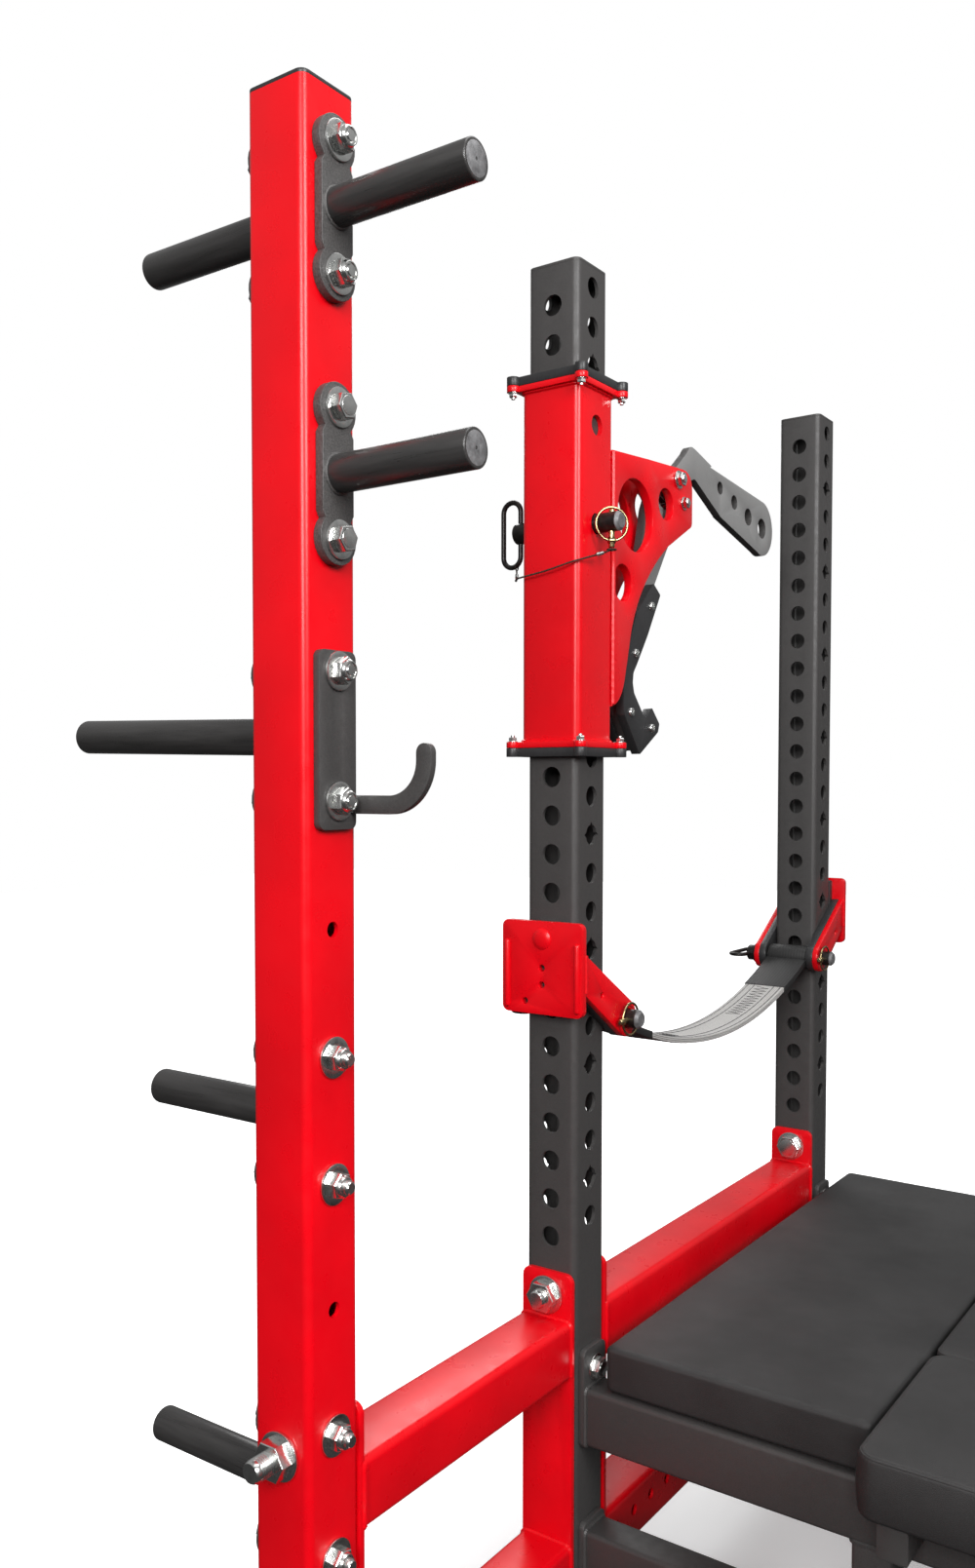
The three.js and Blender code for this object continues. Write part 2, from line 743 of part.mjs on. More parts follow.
// Two crossbeams between the sides, tied by rails, with a low beam on posts under the rear one.
// The tubes open into each other, and out through the end plates.
function benchFrame() {
  const end = INNER_WIDTH / 2 - GAP;
  const half = BEAM_DEPTH / 2;
  const inside = half - 3;
  const thin = ([low, high]) => [low + 3, high - 3];
  const plateHalf = 28;
  const outers = [];
  const insides = [];
  const crossbeam = (y, z, plateZ) => {
    outers.push(block(across(end - 1), [y - half, y + half], z));
    insides.push(block(across(end + 1), [y - inside, y + inside], thin(z)));
    for (const x of [
      [-end, -end + 8],
      [end - 8, end],
    ])
      outers.push(plate(rounded([y - plateHalf, y + plateHalf], plateZ, 12), "x", x, 2));
  };
  crossbeam(0, BENCH_BEAM, [BENCH_BEAM[0] - 4, 463]);
  crossbeam(0, LOW_BEAM, [LOW_BEAM[0] - 44, LOW_BEAM[1] + 10]);
  crossbeam(ENTRY_BAY, BENCH_BEAM, [BENCH_BEAM[0] - 4, 463]);
  const railZ = [BENCH_BEAM[0] + 1.2, BENCH_BEAM[1] - 1.2];
  const postHalf = half - 1;
  const postInside = inside - 1;
  for (const x of [-RAIL_X, RAIL_X]) {
    outers.push(block([x - half, x + half], [half - 1, ENTRY_BAY - half + 1], railZ));
    insides.push(
      block([x - inside, x + inside], [inside - 1, ENTRY_BAY - inside + 1], thin(railZ)),
    );
    const post = (size, z) => block([x - size, x + size], across(size), z);
    outers.push(post(postHalf, [LOW_BEAM[1] - 1, BENCH_BEAM[0] + 1]));
    insides.push(post(postInside, [LOW_BEAM[1] - 5, BENCH_BEAM[0] + 5]));
    const out = Math.sign(x) * 112;
    outers.push(block([out - 17, out + 17], [-98, 2 - half], [371, BENCH_BEAM[1] - 2]));
  }
  return cut(join(...outers), ...insides);
}

function addBench(machine) {
  machine.add(part("bench_frame", benchFrame(), BLACK));
  const pads = {
    side_pad_left: [[-513, -161], [PAD_START, PAD_END], [PAD_FLOOR, 474]],
    side_pad_right: [[161, 513], [PAD_START, PAD_END], [PAD_FLOOR, 474]],
    head_pad: [across(155), [-113, 200], [PAD_FLOOR, 486]],
    bench_pad: [across(156), [205, PAD_END], [PAD_FLOOR, 481]],
  };
  for (const [name, [x, y, z]] of Object.entries(pads))
    machine.add(part(name, block(x, y, z), VINYL));
}

// ---------------------------------------------------------------- the machine

const machine = new THREE.Group();
machine.position.y = RACK_Y;
addBench(machine);
for (const [name, hand] of [["left", 1], ["right", -1]]) {
  const side = makeSide(name);
  side.position.x = -hand * SIDE_X;
  side.scale.x = hand;
  machine.add(side);
}

export default machine;
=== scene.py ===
"""The bench-press rack with monolift arms: its visible pieces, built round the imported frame.

Shapes are modelled in millimetres. Those of one side are drawn about the rack upright's centre on the
floor, with +X towards the lifter and +Y towards the end where the lifter gets on, and are mirrored for
the right-hand side. A placement matrix turns them into metres in the frame.
"""

import math

import bmesh
import bpy
from mathutils import Matrix, Vector, noise


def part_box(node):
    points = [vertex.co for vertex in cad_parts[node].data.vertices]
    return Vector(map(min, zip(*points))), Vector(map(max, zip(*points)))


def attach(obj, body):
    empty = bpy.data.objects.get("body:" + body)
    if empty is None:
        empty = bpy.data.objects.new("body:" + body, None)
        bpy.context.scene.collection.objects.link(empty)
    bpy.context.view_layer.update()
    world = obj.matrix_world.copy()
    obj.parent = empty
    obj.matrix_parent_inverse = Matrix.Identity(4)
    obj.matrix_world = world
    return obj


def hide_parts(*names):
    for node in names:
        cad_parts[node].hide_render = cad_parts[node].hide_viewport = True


bl_info = {
    "name": "Monolift bench rack",
    "version": (1, 0, 0),
    "blender": (4, 5, 0),
    "location": "View3D > Sidebar > Bench rack",
    "description": "Builds the visible pieces of a bench-press rack round its packed frame",
    "category": "Object",
}

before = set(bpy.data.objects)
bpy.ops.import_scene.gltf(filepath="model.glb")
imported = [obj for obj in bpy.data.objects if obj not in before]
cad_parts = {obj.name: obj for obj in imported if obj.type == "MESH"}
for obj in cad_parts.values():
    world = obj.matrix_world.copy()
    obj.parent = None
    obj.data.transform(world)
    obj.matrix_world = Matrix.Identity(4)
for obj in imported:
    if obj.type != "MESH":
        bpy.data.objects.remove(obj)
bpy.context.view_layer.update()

MM = 0.001
SIDES = ("left", "right")
TAU = 2 * math.pi

# ---------------------------------------------------------------- sizes, in millimetres

TUBE_HALF = 38.1
TUBE_WALL = 4.8
TUBE_CORNER = 9
STORAGE_Y = -508.0
ENTRY_Y = 850.9
STORAGE_TOP = 1894
RACK_TOP = 1884.5
FOOT_HALF = 55
FOOT_THICK = 8

SIDE_HOLE_TOP = 1855.1  # the highest hole of the faces that look along X
CROSS_HOLE_TOP = 1829.7  # and of those that look along Y
HOLE_PITCH = 50.8
HOLE_COUNT = 25
HOLE_R = 13.5
NOTCH_EVERY = 3

STORAGE_HOLE_TOP = 1835.6
STORAGE_PITCH = 128.3
STORAGE_HOLES = 12
STORAGE_HOLE_R = 8

LADDER_BEAMS = ((131, 207), (430, 506))
LADDER_PLATE = 8
LADDER_TOP = 567
LINK_BOLT_Z = 536

LOCK_Z = 1550.3
PIN_R = 12.7
PIN_TIP = 82
LYNCH_X = 67
RING_DROP = 3
RING_R = 21.5
RING_WIRE = 1.6
RING_TURN = math.radians(40)
LOOP_X = -74
LOOP_ROD = 3.5
LOOP_BEND = 14
LOOP_STRAIGHT = 30

SLEEVE_HALF = 44.45
SLEEVE_BORE = 38.45
SLEEVE_LOW = 1265.7
SLEEVE_HIGH = 1724
SECOND_HOLE = 127
FLANGE_THICK = 7.2
FLANGE_HALF = 51
EAR_AT = 51.9
EAR_R = 8.5
GUIDE_THICK = 11.5
GUIDE_GAP = 0.3

ARM_X = 19.7
ARM_THICK = 12
GUSSET_THICK = 12
GUSSET_CLEAR = 25.5
PIVOT_Y = 233.9
PIVOT_Z = 1652
PIVOT_R = 6
STOP = (18, -31)
STOP_R = 5
SWING = math.radians(60)
FACING_THICK = 12.7

STRAP_Z = 894
STRAP_PIN_Y = 59.9
STRAP_SAG = 83
STRAP_HALF = 36
STUD_RISE = 123
BRACKET_HALF = 61.5
BRACKET_ARM = (38.5, 60.3)

PEG_R = 19
PEG_PLATE_THICK = 10

INNER_WIDTH = 1092
BENCH_BEAM = (334.8, 411)
LOW_BEAM = (144, 220)
BEAM_HALF = 25.4
RAIL_X = 158


# ---------------------------------------------------------------- what a user would change


class RackSettings(bpy.types.PropertyGroup):
    """Sizes and colours of the rack's finishes."""

    edge: bpy.props.FloatProperty(
        name="Plate edge",
        description="Radius on the edges of cut plates, in metres",
        default=0.0012,
        min=0.0002,
        max=0.003,
        unit="LENGTH",
    )
    weld: bpy.props.FloatProperty(
        name="Weld bead",
        description="Radius of the weld beads, in metres",
        default=0.0032,
        min=0.001,
        max=0.006,
        unit="LENGTH",
    )
    pad_crown: bpy.props.FloatProperty(
        name="Pad crown",
        description="How far the middle of a pad stands above its edges, in metres",
        default=0.002,
        min=0,
        max=0.02,
        unit="LENGTH",
    )
    frame_red: bpy.props.FloatVectorProperty(
        name="Red powder coat",
        description="Colour of the storage uprights, ladders, sleeves and brackets",
        default=(0.68, 0.0008, 0.006),
        size=3,
        min=0,
        max=1,
        subtype="COLOR",
    )
    frame_black: bpy.props.FloatVectorProperty(
        name="Black powder coat",
        description="Colour of the rack uprights, pegs and bench frame",
        default=(0.038, 0.0362, 0.0355),
        size=3,
        min=0,
        max=1,
        subtype="COLOR",
    )
    vinyl: bpy.props.FloatVectorProperty(
        name="Vinyl",
        description="Colour of the pads' covers",
        default=(0.0195, 0.019, 0.019),
        size=3,
        min=0,
        max=1,
        subtype="COLOR",
    )
    backdrop: bpy.props.FloatVectorProperty(
        name="Backdrop",
        description="Colour of the floor and of the light all round",
        default=(1.0, 1.0, 1.0),
        size=3,
        min=0,
        max=1,
        subtype="COLOR",
    )


def settings():
    return bpy.context.scene.bench_rack


# ---------------------------------------------------------------- outlines


def arc(u, v, radius, start, end, steps):
    """Points of an arc about (u, v) from one angle to another."""
    angles = [start + (end - start) * i / steps for i in range(steps + 1)]
    return [(u + radius * math.cos(a), v + radius * math.sin(a)) for a in angles]


def circle(u, v, radius, steps=28):
    return arc(u, v, radius, 0, TAU, steps)[:-1]


def rounded(u, v, radius, steps=5):
    """A rectangle from u[0] to u[1] and v[0] to v[1] with round corners."""
    quarter = math.pi / 2
    corners = (
        (u[1] - radius, v[1] - radius, 0),
        (u[0] + radius, v[1] - radius, 1),
        (u[0] + radius, v[0] + radius, 2),
        (u[1] - radius, v[0] + radius, 3),
    )
    points = []
    for cu, cv, turn in corners:
        points += arc(cu, cv, radius, turn * quarter, (turn + 1) * quarter, steps)
    return points


def turn_angles(steps):
    return [TAU * i / steps for i in range(steps)]


def square(half, radius):
    return rounded((-half, half), (-half, half), radius)


def filleted(points, reach, steps=4):
    """The polygon with every corner rounded off, reach along each edge where the edge is long enough."""
    made = []
    for i, point in enumerate(points):
        corner = Vector(point)
        before = Vector(points[i - 1]) - corner
        after = Vector(points[(i + 1) % len(points)]) - corner
        start = corner + before.normalized() * min(reach, 0.42 * before.length)
        end = corner + after.normalized() * min(reach, 0.42 * after.length)
        for j in range(steps + 1):
            t = j / steps
            made.append(tuple(start.lerp(corner, t).lerp(corner.lerp(end, t), t)))
    return made


def bend(start, corner, end, steps=8):
    """Points of a curve from start to end that leaves and arrives along the lines to corner."""
    a, b, c = (Vector(p) for p in (start, corner, end))
    return [tuple(a.lerp(b, i / steps).lerp(b.lerp(c, i / steps), i / steps)) for i in range(steps + 1)]


# ---------------------------------------------------------------- closed shapes, each a bmesh of its own

AXES = {
    "x": Matrix(((0, 0, 1, 0), (1, 0, 0, 0), (0, 1, 0, 0), (0, 0, 0, 1))),
    "y": Matrix(((1, 0, 0, 0), (0, 0, 1, 0), (0, 1, 0, 0), (0, 0, 0, 1))),
    "z": Matrix.Identity(4),
}


def moved(shape, matrix):
    """The shape in its new place, still facing out where the matrix mirrors it."""
    shape.transform(matrix)
    if matrix.determinant() < 0:
        bmesh.ops.reverse_faces(shape, faces=shape.faces[:])
    return shape


def at(x, y, z):
    return Matrix.Translation((x, y, z))


def plate(outline, axis, low, high, holes=(), edge=None, segments=2):
    """A flat plate square to an axis. Its outline is drawn in the other two axes, in X, Y, Z order."""
    shape = bmesh.new()
    rims = []
    for loop in (outline, *holes):
        points = [shape.verts.new((u, v, low)) for u, v in loop]
        rims += [shape.edges.new(pair) for pair in zip(points, points[1:] + points[:1])]
    bmesh.ops.triangle_fill(shape, use_beauty=True, use_dissolve=False, edges=rims)
    grown = bmesh.ops.extrude_face_region(shape, geom=shape.faces[:])["geom"]
    lifted = [v for v in grown if isinstance(v, bmesh.types.BMVert)]
    bmesh.ops.translate(shape, verts=lifted, vec=(0, 0, high - low))
    bmesh.ops.recalc_face_normals(shape, faces=shape.faces[:])
    edge = settings().edge / MM if edge is None else edge
    if edge:
        middle = (low + high) / 2
        rim = [
            e
            for e in shape.edges
            if (e.verts[0].co.z - middle) * (e.verts[1].co.z - middle) > 0
            and e.calc_face_angle(0) > 1
        ]
        bmesh.ops.bevel(
            shape,
            geom=rim,
            offset=min(edge, 0.3 * (high - low)),
            offset_type="OFFSET",
            affect="EDGES",
            segments=segments,
            profile=0.5,
            material=-1,
            clamp_overlap=True,
        )
    return moved(shape, AXES[axis])


def turned(profile, axis="z", sides=28):
    """A solid turned about an axis, from the (radius, height) points of its profile."""
    shape = bmesh.new()
    points = [shape.verts.new((radius, 0, height)) for radius, height in profile]
    for pair in zip(points, points[1:]):
        shape.edges.new(pair)
    bmesh.ops.spin(
        shape,
        geom=shape.verts[:] + shape.edges[:],
        cent=(0, 0, 0),
        axis=(0, 0, 1),
        angle=TAU,
        steps=sides,
        use_merge=True,
    )
    bmesh.ops.remove_doubles(shape, verts=shape.verts[:], dist=1e-4)
    bmesh.ops.recalc_face_normals(shape, faces=shape.faces[:])
    return moved(shape, AXES[axis])


def bar(axis, radius, low, high, edge=1, sides=28):
    """A round bar with its end edges rounded off."""
    profile = [(0, low), *arc(radius - edge, low + edge, edge, -math.pi / 2, 0, 3)]
    profile += [*arc(radius - edge, high - edge, edge, 0, math.pi / 2, 3), (0, high)]
    return turned(profile, axis, sides)


def rod(points, radius, sides=12, closed=False):
    """A round rod along a line of points. The radius is one number, or one for each point."""
    shape = bmesh.new()
    line = [Vector(p) for p in points]
    radii = radius if isinstance(radius, list) else [radius] * len(line)
    heading = Vector((0, 0, 1))
    turn = Matrix.Identity(3)
    rings = []
    for i, point in enumerate(line):
        before = line[i - 1] if i or closed else point
        after = line[(i + 1) % len(line)] if i < len(line) - 1 or closed else point
        new_heading = (after - before).normalized()
        turn = heading.rotation_difference(new_heading).to_matrix() @ turn
        heading = new_heading
        ring = bmesh.ops.create_circle(
            shape,
            segments=sides,
            radius=radii[i],
            cap_ends=not closed and i in (0, len(line) - 1),
            matrix=Matrix.Translation(point) @ turn.to_4x4(),
        )["verts"]
        rings.append({e for v in ring for e in v.link_edges if e.other_vert(v) in ring})
    pairs = list(zip(rings, rings[1:]))
    if closed:
        pairs.append((rings[-1], rings[0]))
    for one, other in pairs:
        bmesh.ops.bridge_loops(shape, edges=list(one | other))
    bmesh.ops.recalc_face_normals(shape, faces=shape.faces[:])
    return shape


def weld(*points, closed=False):
    """A weld bead along straight lines, with the ripple that the torch leaves."""
    radius = settings().weld / MM
    corners = [Vector(p) for p in points]
    if closed:
        corners.append(corners[0])
    line = []
    for start, end in zip(corners, corners[1:]):
        steps = max(2, round((end - start).length / 4))
        line += [start.lerp(end, i / steps) for i in range(steps)]
    if not closed:
        line.append(corners[-1])
    radii = [radius * (1 + 0.09 * math.sin(2.4 * i)) for i in range(len(line))]
    return rod(line, radii, sides=6, closed=closed)


def ring_of(outline, z):
    """The outline's points at one height, for a weld round a tube."""
    return [(u, v, z) for u, v in outline]


def hexagon(axis, flats, low, high):
    """A hexagon head or nut with its corners turned off at both ends."""
    corner = flats / math.sqrt(3)
    shape = plate(circle(0, 0, corner, 6), "z", low, high, edge=0.9, segments=1)
    return moved(shape, AXES[axis])


def washer(axis, radius, bore, low, high):
    return plate(circle(0, 0, radius, 36), axis, low, high, [circle(0, 0, bore, 20)], edge=0.5)


def stud(axis, radius, low, high, pitch=2.0):
    """A threaded end that runs out to a chamfered tip."""
    profile = [(0, low)]
    for i in range(int((high - low - 2) / pitch)):
        start = low + i * pitch
        profile += [(radius - 0.9, start), (radius, start + 0.4 * pitch), (radius, start + 0.6 * pitch)]
    profile += [(radius - 0.9, high - 2), (radius - 2, high), (0, high)]
    return turned(profile, axis, sides=20)


def drilled(shape, *cutters):
    """The shape with each cutter taken out of it in turn."""
    for cutter in cutters:
        pair = []
        for name, part in (("work", shape), ("tool", cutter)):
            mesh = bpy.data.meshes.new(name)
            part.to_mesh(mesh)
            part.free()
            item = bpy.data.objects.new(name, mesh)
            bpy.context.scene.collection.objects.link(item)
            pair.append(item)
        work, tool = pair
        modifier = work.modifiers.new("cut", "BOOLEAN")
        modifier.operation = "DIFFERENCE"
        modifier.solver = "EXACT"
        modifier.object = tool
        finished = work.evaluated_get(bpy.context.evaluated_depsgraph_get())
        shape = bmesh.new()
        shape.from_mesh(finished.data)
        for item in pair:
            mesh = item.data
            bpy.data.objects.remove(item)
            bpy.data.meshes.remove(mesh)
    return shape


class Piece:
    """A visible piece, put together from closed shapes in millimetres."""

    def __init__(self):
        self.shape = bmesh.new()

    def add(self, shape, place=None, finish=0):
        """Takes the shape over, moved by place and painted with one of the piece's finishes."""
        if place is not None:
            moved(shape, place)
        for face in shape.faces:
            face.material_index = finish
        mesh = bpy.data.meshes.new("shape")
        shape.to_mesh(mesh)
        shape.free()
        self.shape.from_mesh(mesh)
        bpy.data.meshes.remove(mesh)
        return self

    def copy(self):
        twin = Piece()
        twin.shape.free()
        twin.shape = self.shape.copy()
        return twin

    def make(self, name, place, finishes, slot, body="frame", stands_for=()):
        """Turns the piece into an object in metres, riding on its body."""
        moved(self.shape, place)
        mesh = bpy.data.meshes.new(name)
        self.shape.to_mesh(mesh)
        self.shape.free()
        for finish in finishes:
            mesh.materials.append(finish)
        mesh.shade_smooth()
        mesh.set_sharp_from_angle(angle=math.radians(32))
        made = bpy.data.objects.new(name, mesh)
        bpy.context.scene.collection.objects.link(made)
        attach(made, body)
        if stands_for:
            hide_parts(*stands_for)
        return made


def middle_of(node):
    low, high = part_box(node)
    return (low + high) / 2


def side_place(side):
    """From a side's millimetres to the frame's metres."""
    middle = middle_of(f"{side}_rack_upright")
    hand = 1 if side == "left" else -1
    return at(middle.x, middle.y, 0) @ Matrix.Diagonal((hand * MM, MM, MM, 1))


def bench_place():
    """The same for the bench, which stands between the sides."""
    return at(0, middle_of("left_rack_upright").y, 0) @ Matrix.Diagonal((MM, MM, MM, 1))


# ---------------------------------------------------------------- finishes


class Recipe:
    """A material round one Principled shader, with patterns read from Object coordinates."""

    def __init__(self, name, **values):
        self.material = bpy.data.materials.new(name)
        self.material.use_nodes = True
        self.nodes = self.material.node_tree.nodes
        self.shader = self.nodes["Principled BSDF"]
        self.place = self.nodes.new("ShaderNodeTexCoord").outputs["Object"]
        for socket, value in values.items():
            self.shader.inputs[socket.replace("_", " ")].default_value = value

    def link(self, output, node, socket):
        self.material.node_tree.links.new(output, node.inputs[socket])

    def stretched(self, x, y, z):
        """Object coordinates scaled along each axis."""
        node = self.nodes.new("ShaderNodeMapping")
        node.inputs["Scale"].default_value = (x, y, z)
        self.link(self.place, node, "Vector")
        return node.outputs["Vector"]

    def noise(self, scale, detail=3.0, roughness=0.5, place=None):
        node = self.nodes.new("ShaderNodeTexNoise")
        node.inputs["Scale"].default_value = scale
        node.inputs["Detail"].default_value = detail
        node.inputs["Roughness"].default_value = roughness
        self.link(place or self.place, node, "Vector")
        return node.outputs["Fac"]

    def cells(self, scale, feature="DISTANCE_TO_EDGE"):
        node = self.nodes.new("ShaderNodeTexVoronoi")
        node.feature = feature
        node.inputs["Scale"].default_value = scale
        self.link(self.place, node, "Vector")
        return node.outputs["Distance"]

    def wave(self, scale, direction, distortion=0.0):
        node = self.nodes.new("ShaderNodeTexWave")
        node.bands_direction = direction
        node.inputs["Scale"].default_value = scale
        node.inputs["Distortion"].default_value = distortion
        self.link(self.place, node, "Vector")
        return node.outputs["Fac"]

    def spread(self, source, low, high, start=0.0, end=1.0):
        """The source from start to end, as values from low to high."""
        node = self.nodes.new("ShaderNodeMapRange")
        for socket, value in zip(("From Min", "From Max", "To Min", "To Max"), (start, end, low, high)):
            node.inputs[socket].default_value = value
        self.link(source, node, "Value")
        return node.outputs["Result"]

    def product(self, one, other):
        node = self.nodes.new("ShaderNodeMath")
        node.operation = "MULTIPLY"
        self.link(one, node, 0)
        self.link(other, node, 1)
        return node.outputs["Value"]

    def colour(self, source, dark, light, start=0.35, end=0.65):
        node = self.nodes.new("ShaderNodeValToRGB")
        ramp = node.color_ramp.elements
        ramp[0].position, ramp[1].position = start, end
        ramp[0].color, ramp[1].color = (*dark, 1), (*light, 1)
        self.link(source, node, "Fac")
        self.link(node.outputs["Color"], self.shader, "Base Color")

    def roughness(self, source, low, high, start=0.3, end=0.7):
        self.link(self.spread(source, low, high, start, end), self.shader, "Roughness")

    def bump(self, *layers):
        """Each layer is a height with its depth in metres; they are stacked."""
        last = None
        for height, depth in layers:
            node = self.nodes.new("ShaderNodeBump")
            node.inputs["Strength"].default_value = 1.0
            node.inputs["Distance"].default_value = depth
            self.link(height, node, "Height")
            if last:
                self.link(last, node, "Normal")
            last = node.outputs["Normal"]
        self.link(last, self.shader, "Normal")


def shade(colour, factor):
    return tuple(min(1.0, c * factor) for c in colour)


def red_powder_coat():
    red = settings().frame_red
    made = Recipe("red_powder_coat", Coat_Weight=0.08, Coat_Roughness=0.16, Specular_IOR_Level=0.3)
    cloud = made.noise(7.0, 3)
    made.colour(cloud, shade(red, 0.9), shade(red, 1.06))
    made.roughness(made.noise(45.0, 2), 0.26, 0.36)
    made.bump((made.noise(60.0, 1, 0.3), 0.00003))
    return made.material


def black_powder_coat():
    black = settings().frame_black
    made = Recipe("black_powder_coat", Specular_IOR_Level=0.5)
    speck = made.noise(1500.0, 2, 0.6)
    made.colour(speck, shade(black, 0.75), shade(black, 1.7), 0.3, 0.75)
    made.roughness(made.noise(90.0, 3), 0.4, 0.54)
    made.bump((speck, 0.00011), (made.noise(500.0, 2), 0.0001))
    return made.material


def cast_black():
    """The coarser, hammered-looking coat of the pegs' cast plates."""
    black = settings().frame_black
    made = Recipe("cast_black", Specular_IOR_Level=0.5)
    grain = made.noise(620.0, 3, 0.6)
    made.colour(grain, shade(black, 0.9), shade(black, 2.4), 0.35, 0.7)
    made.roughness(grain, 0.36, 0.55)
    made.bump((grain, 0.0004))
    return made.material


def peg_black():
    """The smoother black of the storage pegs' tubes, rubbed a little along their length."""
    black = settings().frame_black
    made = Recipe("peg_black", Specular_IOR_Level=0.5)
    rub = made.noise(40.0, 4, 0.6, made.stretched(0.25, 3, 3))
    made.colour(rub, shade(black, 0.6), shade(black, 1.1), 0.35, 0.8)
    made.roughness(rub, 0.24, 0.36)
    made.bump((made.noise(900.0, 2), 0.00006))
    return made.material


def peg_face():
    """The worn end of a peg, which shows lighter than its side."""
    made = Recipe("peg_face", Metallic=0.35)
    rub = made.noise(120.0, 5, 0.65)
    made.colour(rub, (0.09, 0.09, 0.092), (0.23, 0.23, 0.235), 0.3, 0.7)
    made.roughness(rub, 0.38, 0.6)
    made.bump((rub, 0.0001))
    return made.material


def grey_steel():
    made = Recipe("grey_steel", Metallic=0.25)
    speck = made.noise(1300.0, 2, 0.6)
    made.colour(speck, (0.2, 0.2, 0.198), (0.3, 0.3, 0.297), 0.3, 0.75)
    made.roughness(made.noise(70.0, 3), 0.36, 0.5)
    made.bump((speck, 0.0001))
    return made.material


def zinc(name="zinc", dark=(0.62, 0.63, 0.62), light=(0.8, 0.8, 0.78)):
    made = Recipe(name, Metallic=1.0)
    cloud = made.noise(90.0, 3, 0.5)
    made.colour(cloud, dark, light, 0.3, 0.7)
    made.roughness(made.noise(120.0, 2), 0.17, 0.26)
    made.bump((made.noise(200.0, 1), 0.00001))
    return made.material


def gold_zinc():
    return zinc("gold_zinc", (0.3, 0.22, 0.1), (0.55, 0.46, 0.25))


def cable_wire():
    """Thin steel rope: fine ridges across a dull wire."""
    made = Recipe("cable_wire", Metallic=0.9)
    strands = made.wave(700.0, "DIAGONAL", 0.5)
    made.colour(strands, (0.015, 0.012, 0.01), (0.13, 0.1, 0.08), 0.2, 0.8)
    made.roughness(strands, 0.35, 0.55)
    made.bump((strands, 0.0002))
    return made.material


def black_steel():
    made = Recipe("black_steel", Metallic=0.6)
    cloud = made.noise(110.0, 4, 0.6)
    made.colour(cloud, (0.012, 0.011, 0.011), (0.035, 0.032, 0.03), 0.3, 0.75)
    made.roughness(cloud, 0.26, 0.42)
    made.bump((made.noise(700.0, 2), 0.00006))
    return made.material


def black_plastic():
    made = Recipe("black_plastic", Specular_IOR_Level=0.45)
    grain = made.noise(1100.0, 3, 0.6)
    made.colour(grain, (0.016, 0.016, 0.017), (0.03, 0.03, 0.031))
    made.roughness(made.noise(80.0, 3), 0.3, 0.44)
    made.bump((grain, 0.00009))
    return made.material


def black_vinyl():
    """Upholstery vinyl: a fine pebbled grain, with slow changes of gloss where it is stretched."""
    vinyl = settings().vinyl
    made = Recipe("black_vinyl", Specular_IOR_Level=0.42)
    pebbles = made.cells(780.0)
    made.colour(made.noise(9.0, 3), shade(vinyl, 0.85), shade(vinyl, 1.25))
    made.roughness(made.noise(14.0, 3), 0.46, 0.58)
    made.bump(
        (made.noise(11.0, 2), 0.0009),
        (made.spread(pebbles, 0, 1, 0, 0.22), 0.00012),
    )
    return made.material


def webbing(name="webbing", dark=(0.24, 0.233, 0.225), light=(0.56, 0.545, 0.525)):
    """Flat woven strap: yarns along the strap, crossed by the finer weft."""
    made = Recipe(name, Sheen_Weight=0.3, Sheen_Roughness=0.5, Specular_IOR_Level=0.3)
    yarns = made.wave(95.0, "X")
    picks = made.wave(120.0, "Y")
    weave = made.product(yarns, picks)
    made.colour(weave, dark, light, 0.05, 0.6)
    made.roughness(made.noise(300.0, 3), 0.7, 0.9)
    made.bump((yarns, 0.0004), (picks, 0.0003))
    return made.material


def stitch_thread():
    return webbing("stitch_thread", (0.03, 0.03, 0.03), (0.07, 0.07, 0.07))


def sleeve_rubber():
    made = Recipe("sleeve_rubber", Specular_IOR_Level=0.4)
    grain = made.noise(900.0, 3, 0.6)
    made.colour(grain, (0.010, 0.010, 0.010), (0.022, 0.022, 0.022))
    made.roughness(grain, 0.5, 0.68)
    made.bump((grain, 0.0001), (made.wave(60.0, "X"), 0.0002))
    return made.material


RECIPES = {
    "red": red_powder_coat,
    "black": black_powder_coat,
    "peg": peg_black,
    "cast": cast_black,
    "peg_face": peg_face,
    "arm": grey_steel,
    "zinc": zinc,
    "gold": gold_zinc,
    "wire": cable_wire,
    "pin": black_steel,
    "plastic": black_plastic,
    "vinyl": black_vinyl,
    "webbing": webbing,
    "thread": stitch_thread,
    "rubber": sleeve_rubber,
}
SLOTS = {
    "red": "red_powder_coat",
    "black": "black_powder_coat",
    "peg": "black_powder_coat",
    "arm": "grey_steel",
    "zinc": "zinc",
    "gold": "gold_zinc",
    "wire": "steel_cable",
    "pin": "black_steel",
    "plastic": "black_plastic",
    "vinyl": "black_vinyl",
    "webbing": "webbing",
    "thread": "webbing",
    "rubber": "black_plastic",
}
made_finishes = {}


def finish(key):
    """The finish's material, made once."""
    if key not in made_finishes:
        made_finishes[key] = RECIPES[key]()
    return made_finishes[key]


def put(piece, name, place, keys, body="frame", stands_for=()):
    """Makes the piece in the named finishes."""
    keys = keys.split()
    return piece.make(name, place, [finish(key) for key in keys], SLOTS[keys[0]], body, stands_for)


# ---------------------------------------------------------------- camera


